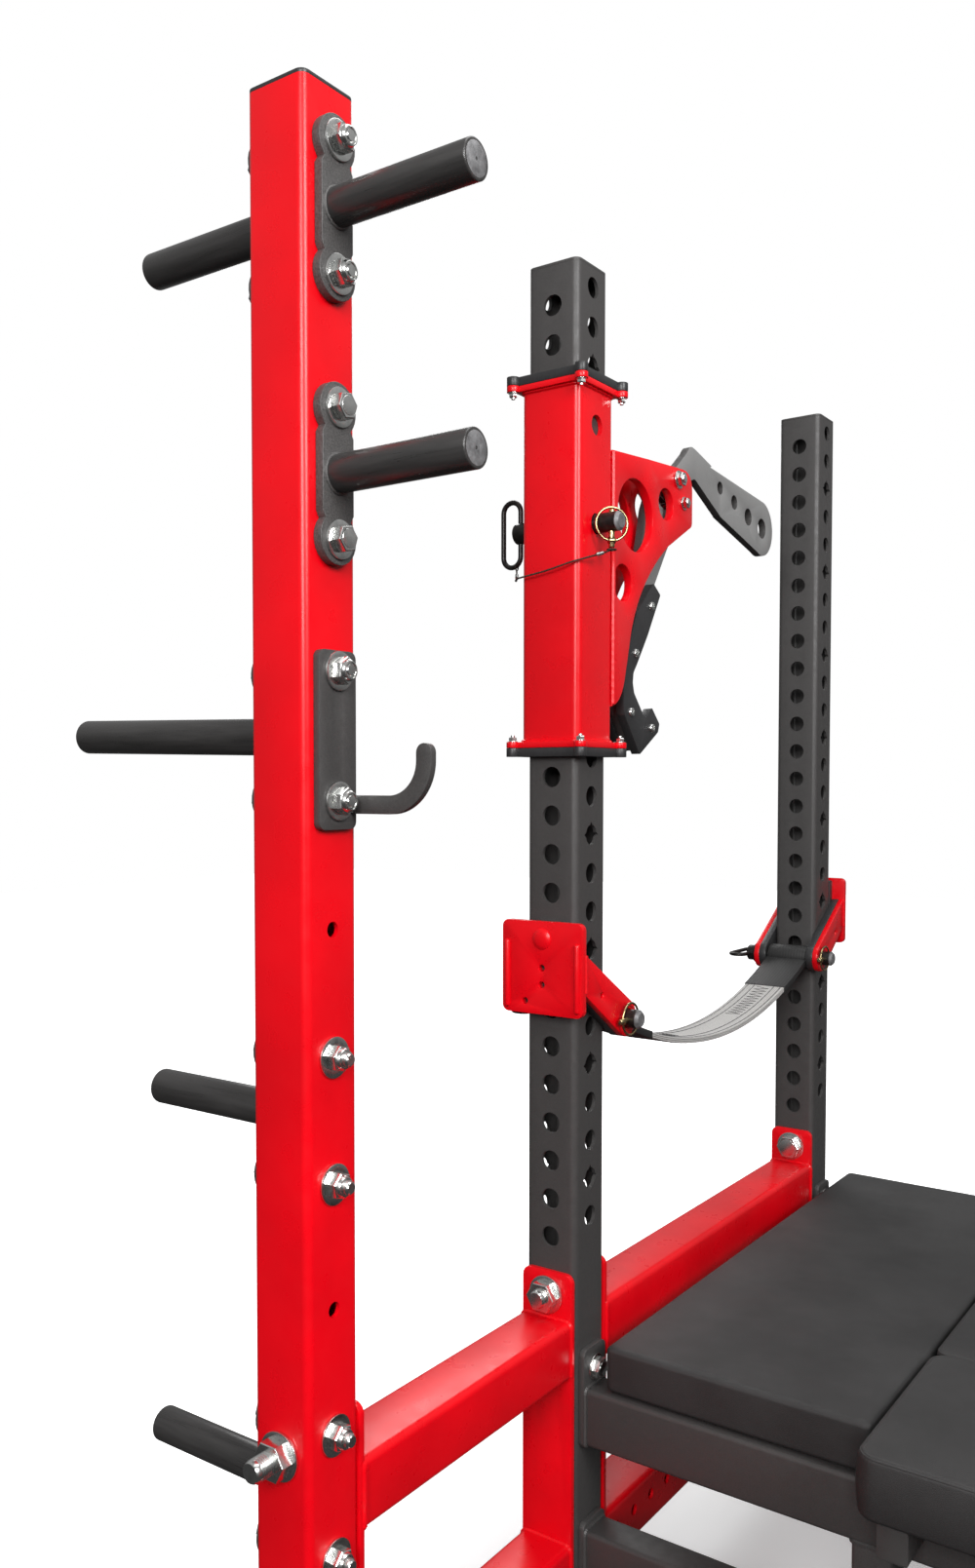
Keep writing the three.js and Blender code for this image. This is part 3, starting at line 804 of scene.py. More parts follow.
class RACK_OT_camera(bpy.types.Operator):
    """Stand the camera in front of the storage uprights, looking at the lock pin's side"""

    bl_idname = "bench_rack.camera"
    bl_label = "Camera"

    def execute(self, context):
        data = bpy.data.cameras.new("camera")
        data.sensor_width = 36
        data.lens = 29.13
        data.shift_x = 0.0134
        data.shift_y = 0.0287
        camera = bpy.data.objects.new("camera", data)
        camera.location = (0.3024, -1.62795, 1.2117)
        camera.rotation_euler = (math.radians(87.94), 0, math.radians(35.93))
        context.scene.collection.objects.link(camera)
        context.scene.camera = camera
        return {"FINISHED"}


# ---------------------------------------------------------------- lanyards

# The thin cable from the lynch pin, round the storage side of the sleeve, to the loop handle's foot.
# Its points are about the lock pin.
LANYARD = (
    (67, -0.5, -35.5),
    (66, -4, -37.5),
    (63, -14, -41.5),
    (58, -27, -46),
    (49, -42, -51.5),
    (35, -51, -56),
    (18, -52.5, -60),
    (0, -52.5, -63.5),
    (-18, -52.5, -66),
    (-34, -52, -68),
    (-48, -46.5, -68.5),
    (-59, -35, -68.5),
    (-68, -20, -66.5),
    (-75, -8, -61),
    (-79, -2, -54.5),
    (-80.5, -0.5, -48),
)
LANYARD_R = 1.2
LANYARD_STEPS = 4


def smooth_line(points, steps):
    """A Catmull-Rom line through the points."""
    known = [Vector(p) for p in points]
    known = [2 * known[0] - known[1], *known, 2 * known[-1] - known[-2]]
    line = []
    for a, b, c, d in zip(known, known[1:], known[2:], known[3:]):
        for i in range(steps):
            t = i / steps
            line.append(
                0.5 * (2 * b + (c - a) * t + (2 * a - 5 * b + 4 * c - d) * t * t
                       + (3 * b - a - 3 * c + d) * t * t * t)
            )
    line.append(known[-2])
    return line


class RACK_OT_lanyards(bpy.types.Operator):
    """Hang the thin cable between each lock pin's lynch pin and its loop handle"""

    bl_idname = "bench_rack.lanyards"
    bl_label = "Lanyards"

    def execute(self, context):
        for side in SIDES:
            place = side_place(side) @ at(0, 0, LOCK_Z)
            line = [place @ p for p in smooth_line(LANYARD, LANYARD_STEPS)]
            data = bpy.data.curves.new(f"{side}_lanyard_cable", "CURVE")
            data.dimensions = "3D"
            data.bevel_depth = LANYARD_R * MM
            data.bevel_resolution = 3
            data.use_fill_caps = True
            spline = data.splines.new("POLY")
            spline.points.add(len(line) - 1)
            for point, co in zip(spline.points, line):
                point.co = (*co, 1)
            data.materials.append(finish("wire"))
            cable = bpy.data.objects.new(f"{side}_lanyard_cable", data)
            context.scene.collection.objects.link(cable)
            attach(cable, "frame")
            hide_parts(f"{side}_lanyard")
            self.eyes(side, place)
        return {"FINISHED"}

    def eyes(self, side, place):
        """The cable's eye round the lynch pin, its ferrules, and the wire loop at the handle's foot."""
        eye = Piece()
        eye.add(rod([(x, y, 0) for x, y in circle(LYNCH_X, 0, 5.6, 20)], 1.2, 8, closed=True), at(0, 0, -36))
        loop = [(-80.5, 3.4 * math.sin(t), 3.8 * math.cos(t) - 44.6) for t in turn_angles(18)]
        eye.add(rod(loop, 0.9, 8, closed=True))
        put(eye, f"{side}_lanyard_eyes", place, "wire")
        ferrules = Piece()
        for a, b, radius in ((2, 3, 2.6), (13, 14, 2.4)):
            start, end = Vector(LANYARD[a]), Vector(LANYARD[b])
            ferrules.add(rod([start.lerp(end, 0.1), start.lerp(end, 0.9)], radius, 14))
        put(ferrules, f"{side}_lanyard_ferrules", place, "zinc")


# ---------------------------------------------------------------- uprights


def tube(low, high, axis="z"):
    """The upright's square tube along an axis, open at both ends."""
    inner = square(TUBE_HALF - TUBE_WALL, TUBE_CORNER - TUBE_WALL)
    return plate(square(TUBE_HALF, TUBE_CORNER), axis, low, high, [inner], edge=0)


def notched(radius):
    """A round hole with four pointed notches."""
    points = []
    for turn in turn_angles(4):
        points.append((1.32 * radius * math.cos(turn), 1.32 * radius * math.sin(turn)))
        points += arc(0, 0, radius, turn + 0.24, turn + TAU / 4 - 0.24, 6)
    return points


def row_of_holes(axis, top, pitch, count, radius, notch_every=0):
    """Cutters through both walls square to an axis, one pair for each hole."""
    cutters = Piece()
    for i in range(count):
        star = notch_every and i % notch_every == notch_every - 1
        outline = notched(radius) if star else circle(0, 0, radius)
        for wall in (-TUBE_HALF, TUBE_HALF):
            reach = TUBE_WALL + 1
            cutters.add(
                plate(outline, axis, wall - reach, wall + reach, edge=0), at(0, 0, top - i * pitch)
            )
    return cutters.shape


def footed(piece):
    """Adds the foot plate and the weld round the tube."""
    holes = [circle(u, v, 7, 16) for u in (-44, 44) for v in (-44, 44)]
    piece.add(plate(square(FOOT_HALF, 8), "z", 0, FOOT_THICK, holes))
    piece.add(weld(*ring_of(square(TUBE_HALF, TUBE_CORNER), FOOT_THICK), closed=True))
    return piece


class RACK_OT_uprights(bpy.types.Operator):
    """Build the storage, rack and entry uprights with their rows of holes"""

    bl_idname = "bench_rack.uprights"
    bl_label = "Uprights"

    def execute(self, context):
        holed = Piece().add(
            drilled(
                tube(0, RACK_TOP - 4),
                row_of_holes("x", SIDE_HOLE_TOP, HOLE_PITCH, HOLE_COUNT, HOLE_R, NOTCH_EVERY),
                row_of_holes("y", CROSS_HOLE_TOP, HOLE_PITCH, HOLE_COUNT, HOLE_R),
            )
        )
        holed.add(plate(square(TUBE_HALF, TUBE_CORNER), "z", RACK_TOP - 4, RACK_TOP, edge=0.8))
        footed(holed)
        storage = Piece().add(
            drilled(
                tube(0, STORAGE_TOP - 4),
                row_of_holes("x", STORAGE_HOLE_TOP, STORAGE_PITCH, STORAGE_HOLES, STORAGE_HOLE_R),
            )
        )
        footed(storage)
        cap = plate(square(TUBE_HALF, TUBE_CORNER), "z", STORAGE_TOP - 4, STORAGE_TOP, edge=1.4)
        storage.add(cap, finish=1)
        for side in SIDES:
            place = side_place(side)
            for kind, y in (("rack", 0), ("entry", ENTRY_Y)):
                put(
                    holed.copy(),
                    f"{side}_{kind}_tube",
                    place @ at(0, y, 0),
                    "black",
                    stands_for=[f"{side}_{kind}_upright"],
                )
            put(
                storage.copy(),
                f"{side}_storage_tube",
                place @ at(0, STORAGE_Y, 0),
                "red plastic",
                stands_for=[f"{side}_storage_upright"],
            )
        return {"FINISHED"}


# ---------------------------------------------------------------- ladders and their link bolts


def ladder(y0, y1, drilled_side):
    """Two beams between two end plates; the lower beam may have its row of small holes."""
    piece = Piece()
    bottom = LADDER_BEAMS[0][0] - 10
    outline = rounded((-TUBE_HALF, TUBE_HALF), (bottom, LADDER_TOP), 12)
    link_hole = circle(0, LINK_BOLT_Z, 13)
    for low in (y0, y1 - LADDER_PLATE):
        piece.add(plate(outline, "y", low, low + LADDER_PLATE, [link_hole]))
    inner_ends = (y0 + LADDER_PLATE, y1 - LADDER_PLATE)
    for low, high in LADDER_BEAMS:
        beam = tube(inner_ends[0] - 1, inner_ends[1] + 1, "y")
        moved(beam, at(0, 0, (low + high) / 2))
        if drilled_side and low == LADDER_BEAMS[0][0]:
            cutters = Piece()
            first = inner_ends[0] + 30
            for i in range(int((inner_ends[1] - 30 - first) / HOLE_PITCH) + 1):
                cutter = plate(circle(0, 0, STORAGE_HOLE_R, 20), "x", 30, 46, edge=0)
                cutters.add(cutter, at(0, first + i * HOLE_PITCH, 175))
            beam = drilled(beam, cutters.shape)
        piece.add(beam)
        for y in inner_ends:
            ring = rounded((-TUBE_HALF, TUBE_HALF), (low, high), TUBE_CORNER)
            piece.add(weld(*[(u, y, v) for u, v in ring], closed=True))
    return piece


def long_bolt(y_head, y_nut, head_side, proud):
    """A link bolt along Y: washer and head at one end, washer, nut and proud threaded end at the other."""
    bolt = Piece()
    for y, way in ((y_head, head_side), (y_nut, -head_side)):
        flip = Matrix.Diagonal((1, way, 1, 1)) @ at(0, way * y, 0)
        bolt.add(washer("y", 25, 12, 0.2, 4), flip)
        bolt.add(hexagon("y", 36, 4, 19), flip)
        if way != head_side:
            bolt.add(stud("y", 12, 18, 19 + proud, 3), flip)
        else:
            bolt.add(bar("y", 15, 18, 19.6, 0.6), flip)
    low, high = sorted((y_head, y_nut))
    bolt.add(bar("y", 11.8, low, high, 0.5, 20))
    return bolt


class RACK_OT_ladders(bpy.types.Operator):
    """Build the welded ladders between the uprights, with their link bolts"""

    bl_idname = "bench_rack.ladders"
    bl_label = "Ladders"

    def execute(self, context):
        gap = TUBE_HALF + 0.3
        storage = ladder(STORAGE_Y + gap, -gap, drilled_side=False)
        side_ladder = ladder(gap, ENTRY_Y - gap, drilled_side=True)
        bolts = Piece()
        bolts.add(long_bolt(STORAGE_Y + gap + LADDER_PLATE, STORAGE_Y - TUBE_HALF, 1, 24).shape)
        bolts.add(long_bolt(gap + LADDER_PLATE, -gap - LADDER_PLATE, 1, 9).shape)
        bolts.add(long_bolt(ENTRY_Y - gap - LADDER_PLATE, ENTRY_Y + TUBE_HALF, -1, 12).shape)
        for side in SIDES:
            place = side_place(side)
            for piece, kind in ((storage, "storage_ladder"), (side_ladder, "side_ladder")):
                put(piece.copy(), f"{side}_{kind}_welded", place, "red", stands_for=[f"{side}_{kind}"])
            put(bolts.copy(), f"{side}_link_bolts", place @ at(0, 0, LINK_BOLT_Z), "zinc")
        return {"FINISHED"}


# ---------------------------------------------------------------- storage pegs and the band hook


def bolt_row(k):
    return STORAGE_HOLE_TOP - STORAGE_PITCH * k


def peg_plate():
    """The cast plate: two round lobes for the bolts, joined by a waist that carries the peg."""
    quarter = math.pi / 4
    upper = arc(0, 63, 26, -quarter, 5 * quarter, 22)
    lower = arc(0, -63, 26, 3 * quarter, 9 * quarter, 22)
    outline = [*upper, (-22.5, 38), (-22.5, -38), *lower, (22.5, -38), (22.5, 38)]
    return plate(outline, "x", 0, PEG_PLATE_THICK, edge=2.2, segments=3)


def peg(reach, cant=0.0):
    """A peg along +X from the tube's face."""
    start = TUBE_HALF + 0.3
    end = TUBE_HALF + reach
    piece = Piece()
    piece.add(peg_plate(), at(start, 0, 0), 1)
    tilt = Matrix.Rotation(-cant, 4, "Y")
    piece.add(bar("x", PEG_R, start + 2, end, 1.6, 48), tilt)
    face = [(0, end - 1), (0, end - 0.3), (1.4, end - 0.3), (1.8, end + 0.15), (15.6, end + 0.2)]
    piece.add(turned([*face, (16.6, end - 0.4), (16.6, end - 1), (0, end - 1)], "x", 40), tilt, 2)
    collar = [(start + PEG_PLATE_THICK, y, z) for y, z in circle(0, 0, PEG_R, 48)]
    piece.add(rod(collar, 2.2, 8, closed=True), finish=1)
    return piece


# Each peg's row of bolts down from the top, its reach, and its cant in degrees.
INNER_PEGS = {"in_high": (0.5, 176, 0), "in_low": (2.5, 176, 0)}
OUTER_PEGS = {
    "out_1": (0.5, 180, 0),
    "out_2": (4.5, 303, 1.2),
    "out_3": (7.5, 178, 0),
    "out_4": (10.5, 180, 0),
}


def band_hook():
    """A flat J welded to the far edge of its back plate."""
    start = TUBE_HALF + 0.3
    strip, bend_radius, run, floor, tip = 18.5, 34, 95, -73, 60
    centre = (run, floor + strip + bend_radius)
    outline = [(start + 1, floor)]
    outline += arc(*centre, bend_radius + strip, -math.pi / 2, 0, 16)
    outline += arc(run + bend_radius + strip / 2, floor + tip, strip / 2, 0, math.pi, 12)
    outline += arc(*centre, bend_radius, 0, -math.pi / 2, 16)
    outline.append((start + 1, floor + strip))
    piece = Piece()
    holes = [circle(0, z, 8.5, 20) for z in (-60, 68.3)]
    piece.add(plate(rounded((-27, 27), (-88.5, 88.5), 8), "x", start, start + 8, holes))
    piece.add(plate(outline, "y", 19, 27, edge=1.5))
    piece.add(weld((start + 8, 19, floor + 1), (start + 8, 19, floor + strip - 1)))
    return piece


def storage_bolt(seat, way, kind, radius=19.5):
    """Washer and hex at one end of a bolt along X; a nut has a threaded end through it."""
    bolt = Piece()
    bolt.add(washer("x", radius, 8.3, 0.2, 3.2))
    bolt.add(hexagon("x", 24, 3.2, 13.5))
    if kind == "head":
        bolt.add(bar("x", 9.6, 13, 13.9, 0.5))
    else:
        collar = [(0, 13), (11.2, 13), (10.9, 15), (9.6, 17.2), (8.4, 17.6), (8.1, 16.4), (0, 16.4)]
        bolt.add(turned(collar, "x", 32))
        bolt.add(stud("x", 7.6, 14, 24 if kind == "long" else 18.2, 1.6))
    flip = at(way * seat, 0, 0) @ Matrix.Diagonal((way, 1, 1, 1))
    moved(bolt.shape, flip @ Matrix.Rotation(0.35 * seat, 4, "X"))
    return bolt.shape


def storage_bolts(with_hook):
    """Every bolt through the storage upright, in rows from the top: nuts on one face, heads on the other."""
    plate_seat = TUBE_HALF + 0.3 + PEG_PLATE_THICK
    inner = {0: (plate_seat, "nut"), 1: (plate_seat, "nut"), 2: (plate_seat, "head"), 3: (plate_seat, "head")}
    inner.update({k: (TUBE_HALF + (8.3 if with_hook else 0), "nut") for k in (4, 5)})
    inner.update({k: (TUBE_HALF, "long") for k in (7, 8, 10, 11)})
    bolts = Piece()
    for k, (seat, kind) in inner.items():
        outer_seat = TUBE_HALF if k in (2, 3) else plate_seat
        z = bolt_row(k)
        bolts.add(storage_bolt(seat, 1, kind, 21 if seat == TUBE_HALF else 19.5), at(0, 0, z))
        bolts.add(storage_bolt(outer_seat, -1, "nut" if kind == "head" else "head"), at(0, 0, z))
        bolts.add(bar("x", 7.9, -outer_seat, seat, 0.4, 20), at(0, 0, z))
    return bolts


class RACK_OT_storage(bpy.types.Operator):
    """Bolt the storage pegs and the band hook to the storage uprights"""

    bl_idname = "bench_rack.storage"
    bl_label = "Storage pegs"

    def execute(self, context):
        for side in SIDES:
            place = side_place(side) @ at(0, STORAGE_Y, 0)
            pegs = [(name, *row, 0.0) for name, row in INNER_PEGS.items()]
            pegs += [(name, *row, math.pi) for name, row in OUTER_PEGS.items()]
            for name, row, reach, cant, turn in pegs:
                made = peg(reach, math.radians(cant))
                spot = at(0, 0, bolt_row(row)) @ Matrix.Rotation(turn, 4, "Z")
                put(
                    made,
                    f"{side}_storage_{name}",
                    place @ spot,
                    "peg cast peg_face",
                    stands_for=[f"{side}_peg_{name}"],
                )
            if side == "left":
                spot = at(0, 0, bolt_row(4.5) - 4)
                put(band_hook(), "left_hook", place @ spot, "black", stands_for=["left_band_hook"])
            put(storage_bolts(side == "left"), f"{side}_storage_bolts", place, "zinc")
        return {"FINISHED"}


# ---------------------------------------------------------------- sleeves and guides


def eared(low, high, edge=1.0):
    """A square plate round the upright, with an ear for a bolt at each corner."""
    spread = math.acos((FLANGE_HALF - EAR_AT) / EAR_R)
    outline = []
    for quarter in range(4):
        start = quarter * math.pi / 2
        corner = start + math.pi / 4
        u = EAR_AT * math.sqrt(2) * math.cos(corner)
        v = EAR_AT * math.sqrt(2) * math.sin(corner)
        outline += arc(u, v, EAR_R, start - spread, start + math.pi / 2 + spread, 14)
    return plate(outline, "z", low, high, [square(SLEEVE_BORE, 6)], edge=edge)


def gusset(low, high):
    """The gusset, drawn in Y and Z about the pivot, with its back edge inside the sleeve's wall."""
    back = SLEEVE_HALF - PIVOT_Y - 2
    outline = [(back, 3), (back, -337)]
    outline += bend((back + 4, -336), (-163, -330), (-154, -291))
    outline += bend((-144, -255), (-127, -168), (-30, -101), 14)
    outline += [(42, -62.7), (45.5, -59.8), (47, -55)]
    outline += bend((47, -9), (46, 18), (18, 18))
    outline += [(-3, 17), (-91, 11)]
    holes = [
        circle(0, 0, PIVOT_R + 0.4, 20),
        circle(-127, -73, 50, 56),
        circle(-37, -42, 23, 32),
        circle(-163, -169, 25, 36),
    ]
    return plate(outline, "x", low, high, holes, edge=1.4)


def small_bolt(radius, flats, height):
    """A washer and a hexagon head standing up along Z from its seat."""
    bolt = Piece()
    bolt.add(washer("z", radius, 2.5, 0, 1.2))
    bolt.add(hexagon("z", flats, 1.2, 1.2 + height))
    return bolt.shape


def sleeve():
    """The sleeve's tube with its pin holes, its two eared flanges, the gussets and their welds."""
    outline = square(SLEEVE_HALF, TUBE_CORNER + 1)
    body = plate(outline, "z", SLEEVE_LOW, SLEEVE_HIGH, [square(SLEEVE_BORE, 6)], edge=0)
    cutters = Piece()
    for z in (LOCK_Z, LOCK_Z + SECOND_HOLE):
        for wall in (-SLEEVE_HALF, SLEEVE_HALF):
            cutters.add(plate(circle(0, 0, HOLE_R), "x", wall - 9, wall + 4, edge=0), at(0, 0, z))
    piece = Piece().add(drilled(body, cutters.shape))
    piece.add(eared(SLEEVE_HIGH - 0.5, SLEEVE_HIGH + FLANGE_THICK))
    piece.add(eared(SLEEVE_LOW - FLANGE_THICK, SLEEVE_LOW + 0.5))
    for z in (SLEEVE_LOW + 1, SLEEVE_HIGH - 1):
        piece.add(weld(*ring_of(outline, z), closed=True))
    for low in gusset_faces():
        high = low + GUSSET_THICK
        piece.add(gusset(low, high), at(0, PIVOT_Y, PIVOT_Z))
        for x in (low, high):
            piece.add(weld((x, SLEEVE_HALF, PIVOT_Z - 334), (x, SLEEVE_HALF, PIVOT_Z + 1)))
    return piece


def gusset_faces():
    """The lower X of each gusset: the one on the lifter's side first."""
    return ARM_X + GUSSET_CLEAR / 2, ARM_X - GUSSET_CLEAR / 2 - GUSSET_THICK


def sleeve_bolts():
    """The bolts through the ears, whose heads sit on the flanges and whose ends show past the guides."""
    bolts = Piece()
    flange_top = SLEEVE_HIGH - 0.5
    guide_top = SLEEVE_HIGH + FLANGE_THICK + GUIDE_GAP + GUIDE_THICK
    flange_low = SLEEVE_LOW + 0.5
    guide_low = SLEEVE_LOW - FLANGE_THICK - GUIDE_GAP - GUIDE_THICK
    for u in (-EAR_AT, EAR_AT):
        for v in (-EAR_AT, EAR_AT):
            for seat, way in ((flange_top, -1), (flange_low, 1)):
                flip = at(u, v, seat) @ Matrix.Diagonal((1, 1, way, 1))
                bolts.add(small_bolt(6.6, 10, 5), flip)
                bolts.add(bar("z", 2.6, 5, 9, 0.5, 14), flip)
            bolts.add(bar("z", 2.4, flange_top, guide_top - 0.6, 0.3, 14), at(u, v, 0))
            bolts.add(bar("z", 2.4, guide_low + 0.6, flange_low, 0.3, 14), at(u, v, 0))
    return bolts


class RACK_OT_sleeves(bpy.types.Operator):
    """Slide the red sleeves over the rack uprights, between their plastic guides"""

    bl_idname = "bench_rack.sleeves"
    bl_label = "Sleeves"

    def execute(self, context):
        piece = sleeve()
        bolts = sleeve_bolts()
        top = SLEEVE_HIGH + FLANGE_THICK + GUIDE_GAP
        low = SLEEVE_LOW - FLANGE_THICK - GUIDE_GAP
        guides = {"top": (top, top + GUIDE_THICK), "bottom": (low - GUIDE_THICK, low)}
        for side in SIDES:
            place = side_place(side)
            put(piece.copy(), f"{side}_sleeve_welded", place, "red", stands_for=[f"{side}_sleeve"])
            put(bolts.copy(), f"{side}_sleeve_bolts", place, "zinc")
            for end, heights in guides.items():
                guide = Piece().add(eared(*heights, edge=1.2))
                name = f"{side}_guide_{end}"
                put(guide, f"{name}_moulded", place, "plastic", stands_for=[name])
        return {"FINISHED"}


# ---------------------------------------------------------------- monolift arms

# The plate's outline, drawn in Y and Z about the pivot.
ARM_BACK = ((43, 28), (72, 62), (80, 68), (92, 67), (156, 52))
ARM_HOOK = (
    (187, -20),
    (93, 22),
    (66, 10),
    (44, -30),
    (30, -62),
    (0, -102),
    (-45, -168),
    (-83, -232),
    (-115, -276),
    (-126, -296),
    (-121, -317),
    (-93, -347),
    (-84, -350),
    (-66, -336),
    (-46, -356),
    (-50, -366),
    (-102, -396),
    (-143, -346),
    (-147, -309),
    (-133, -252),
    (-110, -204),
    (-75, -102),
    (-62, -50),
    (-40, -12),
    (-14, 10),
    (10, 15),
)
FACING = (
    (-63, -157),
    (-42, -171),
    (-80, -232),
    (-112, -276),
    (-121, -287),
    (-123, -301),
    (-119, -315),
    (-92, -344),
    (-83, -347),
    (-66, -333),
    (-43, -355),
    (-47, -367),
    (-102, -400),
    (-146, -346),
    (-150, -309),
    (-136, -252),
    (-113, -204),
)
FACING_SCREWS = ((-68, -190), (-114, -260), (-127, -342), (-66, -362))
HANDLE_HOLES = ((184, 25, 10), (238, 12, 11.5), (293, -2, 14), (349, -12, 16.5))


def stop_slot():
    """The curved slot that the stop bolt runs in as the arm turns."""
    radius = math.hypot(*STOP)
    rest = math.atan2(STOP[1], STOP[0])
    end = rest - SWING
    play = STOP_R + 1.2
    rest_at = (radius * math.cos(rest), radius * math.sin(rest))
    end_at = (radius * math.cos(end), radius * math.sin(end))
    slot = arc(0, 0, radius + play, end, rest, 12)[:-1]
    slot += arc(*rest_at, play, rest, rest + math.pi, 10)[:-1]
    slot += arc(0, 0, radius - play, rest, end, 12)[:-1]
    return slot + arc(*end_at, play, end + math.pi, end + TAU, 10)[:-1]


def arm_plate():
    """One plate: handle, hub, and the hook that carries the bar. Its cut edges are painted black as painted
    shade.
    """
    end_y, end_z, _ = HANDLE_HOLES[-1]
    outline = filleted(ARM_BACK, 9)[5:]
    outline += arc(end_y, end_z, 45, 0.46 * math.pi, -0.63 * math.pi, 24)
    outline += filleted(ARM_HOOK, 5)
    holes = [circle(0, 0, PIVOT_R + 0.4, 20), stop_slot()]
    holes += [circle(y, z, radius, 32) for y, z, radius in HANDLE_HOLES]
    half = ARM_THICK / 2
    shape = plate(outline, "x", ARM_X - half, ARM_X + half, holes, edge=1.0)
    arm = Piece().add(shape)
    # painted shade: the faces along the plate's thickness take the black finish, so its edges read as shaded
    for face in arm.shape.faces:
        face.material_index = int(abs(face.normal.x) < 0.5)
    return arm


def facing_screws(face, way):
    """Button screws in the facing, with a round socket in each."""
    screws = Piece()
    for y, z in FACING_SCREWS:
        head = [(0, -0.5), (6.6, -0.5), (6.6, 0.6), (5.7, 2.4), (4.2, 3.2), (2.9, 3.3), (2.7, 1.0), (0, 1.0)]
        screws.add(turned(head, "x", 24), at(face, y, z) @ Matrix.Diagonal((way, 1, 1, 1)))
    return screws.shape


class RACK_OT_arms(bpy.types.Operator):
    """Hang the monolift arms on their pivot bolts, with the facings screwed to both sides of the hooks"""

    bl_idname = "bench_rack.arms"
    bl_label = "Monolift arms"

    def execute(self, context):
        inner_face = ARM_X + ARM_THICK / 2 + 0.3
        outer_face = ARM_X - ARM_THICK / 2 - 0.3
        faces = {"inner": (inner_face, inner_face + FACING_THICK)}
        faces["outer"] = (outer_face - FACING_THICK, outer_face)
        arm = arm_plate()
        screws = Piece()
        screws.add(facing_screws(faces["inner"][1], 1))
        screws.add(facing_screws(faces["outer"][0], -1))
        for side in SIDES:
            place = side_place(side) @ at(0, PIVOT_Y, PIVOT_Z)
            body = f"{side}_arm"
            # the black second finish is painted shade on the arm plate's edges
            put(arm.copy(), f"{side}_arm_plate", place, "arm black", body, [f"{side}_monolift_arm"])
            put(screws.copy(), f"{side}_facing_screws", place, "zinc", body)
            for face, (low, high) in faces.items():
                facing = Piece().add(plate(filleted(FACING, 2.5), "x", low, high, edge=1.6))
                name = f"{side}_facing_{face}"
                put(facing, f"{name}_moulded", place, "plastic", body, [name])
            bolts = self.bolts()
            put(bolts, f"{side}_pivot_and_stop", place, "zinc", stands_for=[f"{side}_pivot_bolt"])
        return {"FINISHED"}

    def bolts(self):
        """The pivot bolt with its bushes, and the stop bolt under it."""
        near, far = gusset_faces()
        outside = near + GUSSET_THICK + 0.3
        behind = far - 0.3
        arm_face = ARM_THICK / 2 + 0.3
        bolts = Piece()
        bolts.add(bar("x", PIVOT_R, behind - 14, outside + 12))
        bolts.add(bar("x", 13, ARM_X + arm_face, near - 0.3, 0.6))
        bolts.add(bar("x", 13, far + GUSSET_THICK + 0.3, ARM_X - arm_face, 0.6))
        bolts.add(washer("x", 13, 5, outside, outside + 2.5))
        bolts.add(washer("x", 13, 5, behind - 2.5, behind))
        bolts.add(hexagon("x", 18.5, outside + 2.4, outside + 10))
        bolts.add(hexagon("x", 18.5, behind - 12, behind - 2.4))
        stop = at(0, *STOP)
        bolts.add(bar("x", STOP_R, behind - 7, outside + 9.5, 0.8), stop)
        bolts.add(washer("x", 9.5, 4.5, outside, outside + 1.6), stop)
        bolts.add(hexagon("x", 14, outside + 1.6, outside + 8), stop)
        bolts.add(hexagon("x", 14, behind - 6.5, behind - 0.2), stop)
        return bolts


# ---------------------------------------------------------------- lock pins and strap pins


def pull_pin(hub_start, ring_turn):
    """A black pin with a bright chamfered tip, its hub, and the lynch pin through its end."""
    pin = Piece()
    end = PIN_TIP
    pin.add(turned([(0, -hub_start - 1), (PIN_R, -hub_start - 1), (PIN_R, end - 5), (0, end - 5)], "x", 40))
    tip = [(0, end - 5.5), (PIN_R, end - 5.5), (PIN_R, end - 4), (PIN_R - 3.4, end), (0, end)]
    pin.add(turned(tip, "x", 40), finish=1)
    pin.add(bar("x", 18, -hub_start - 6, -hub_start, 1.4, 40))
    pin.add(bar("x", 14, LOOP_X - 6, -hub_start - 5, 1.8, 36))
    foot = -RING_DROP - RING_R
    lynch_top = RING_R - RING_DROP - RING_WIRE - 1.2
    pin.add(bar("z", 4, foot - 9, lynch_top, 1.2, 20), at(LYNCH_X, 0, 0), 2)
    head = at(LYNCH_X, 0, foot) @ Matrix.Rotation(-ring_turn, 4, "Z")
    pin.add(bar("y", 4.6, -4.5, 4.5, 1), head, 2)
    return pin


def loop_line():
    """The loop handle's middle line, a stretched circle whose inner side runs through the hub."""
    line = [(0, 0, LOOP_STRAIGHT * t) for t in (-0.9, -0.45, 0, 0.45, 0.9)]
    line += [(u, 0, v) for u, v in arc(-LOOP_BEND, LOOP_STRAIGHT, LOOP_BEND, 0, math.pi, 14)]
    line += [(-2 * LOOP_BEND, 0, LOOP_STRAIGHT * t) for t in (0.9, 0.45, 0, -0.45, -0.9)]
    line += [(u, 0, v) for u, v in arc(-LOOP_BEND, -LOOP_STRAIGHT, LOOP_BEND, math.pi, TAU, 14)]
    return line


def loop_handle():
    return rod(loop_line(), LOOP_ROD, 16, closed=True)


def snap_ring(opening):
    """The wire ring in the Y and Z plane; its two ends sit in the lynch pin's head."""
    points = arc(0, 0, RING_R, opening - math.pi / 2, 1.5 * math.pi - opening, 44)
    return rod([(0, u, v) for u, v in points], RING_WIRE, 12)


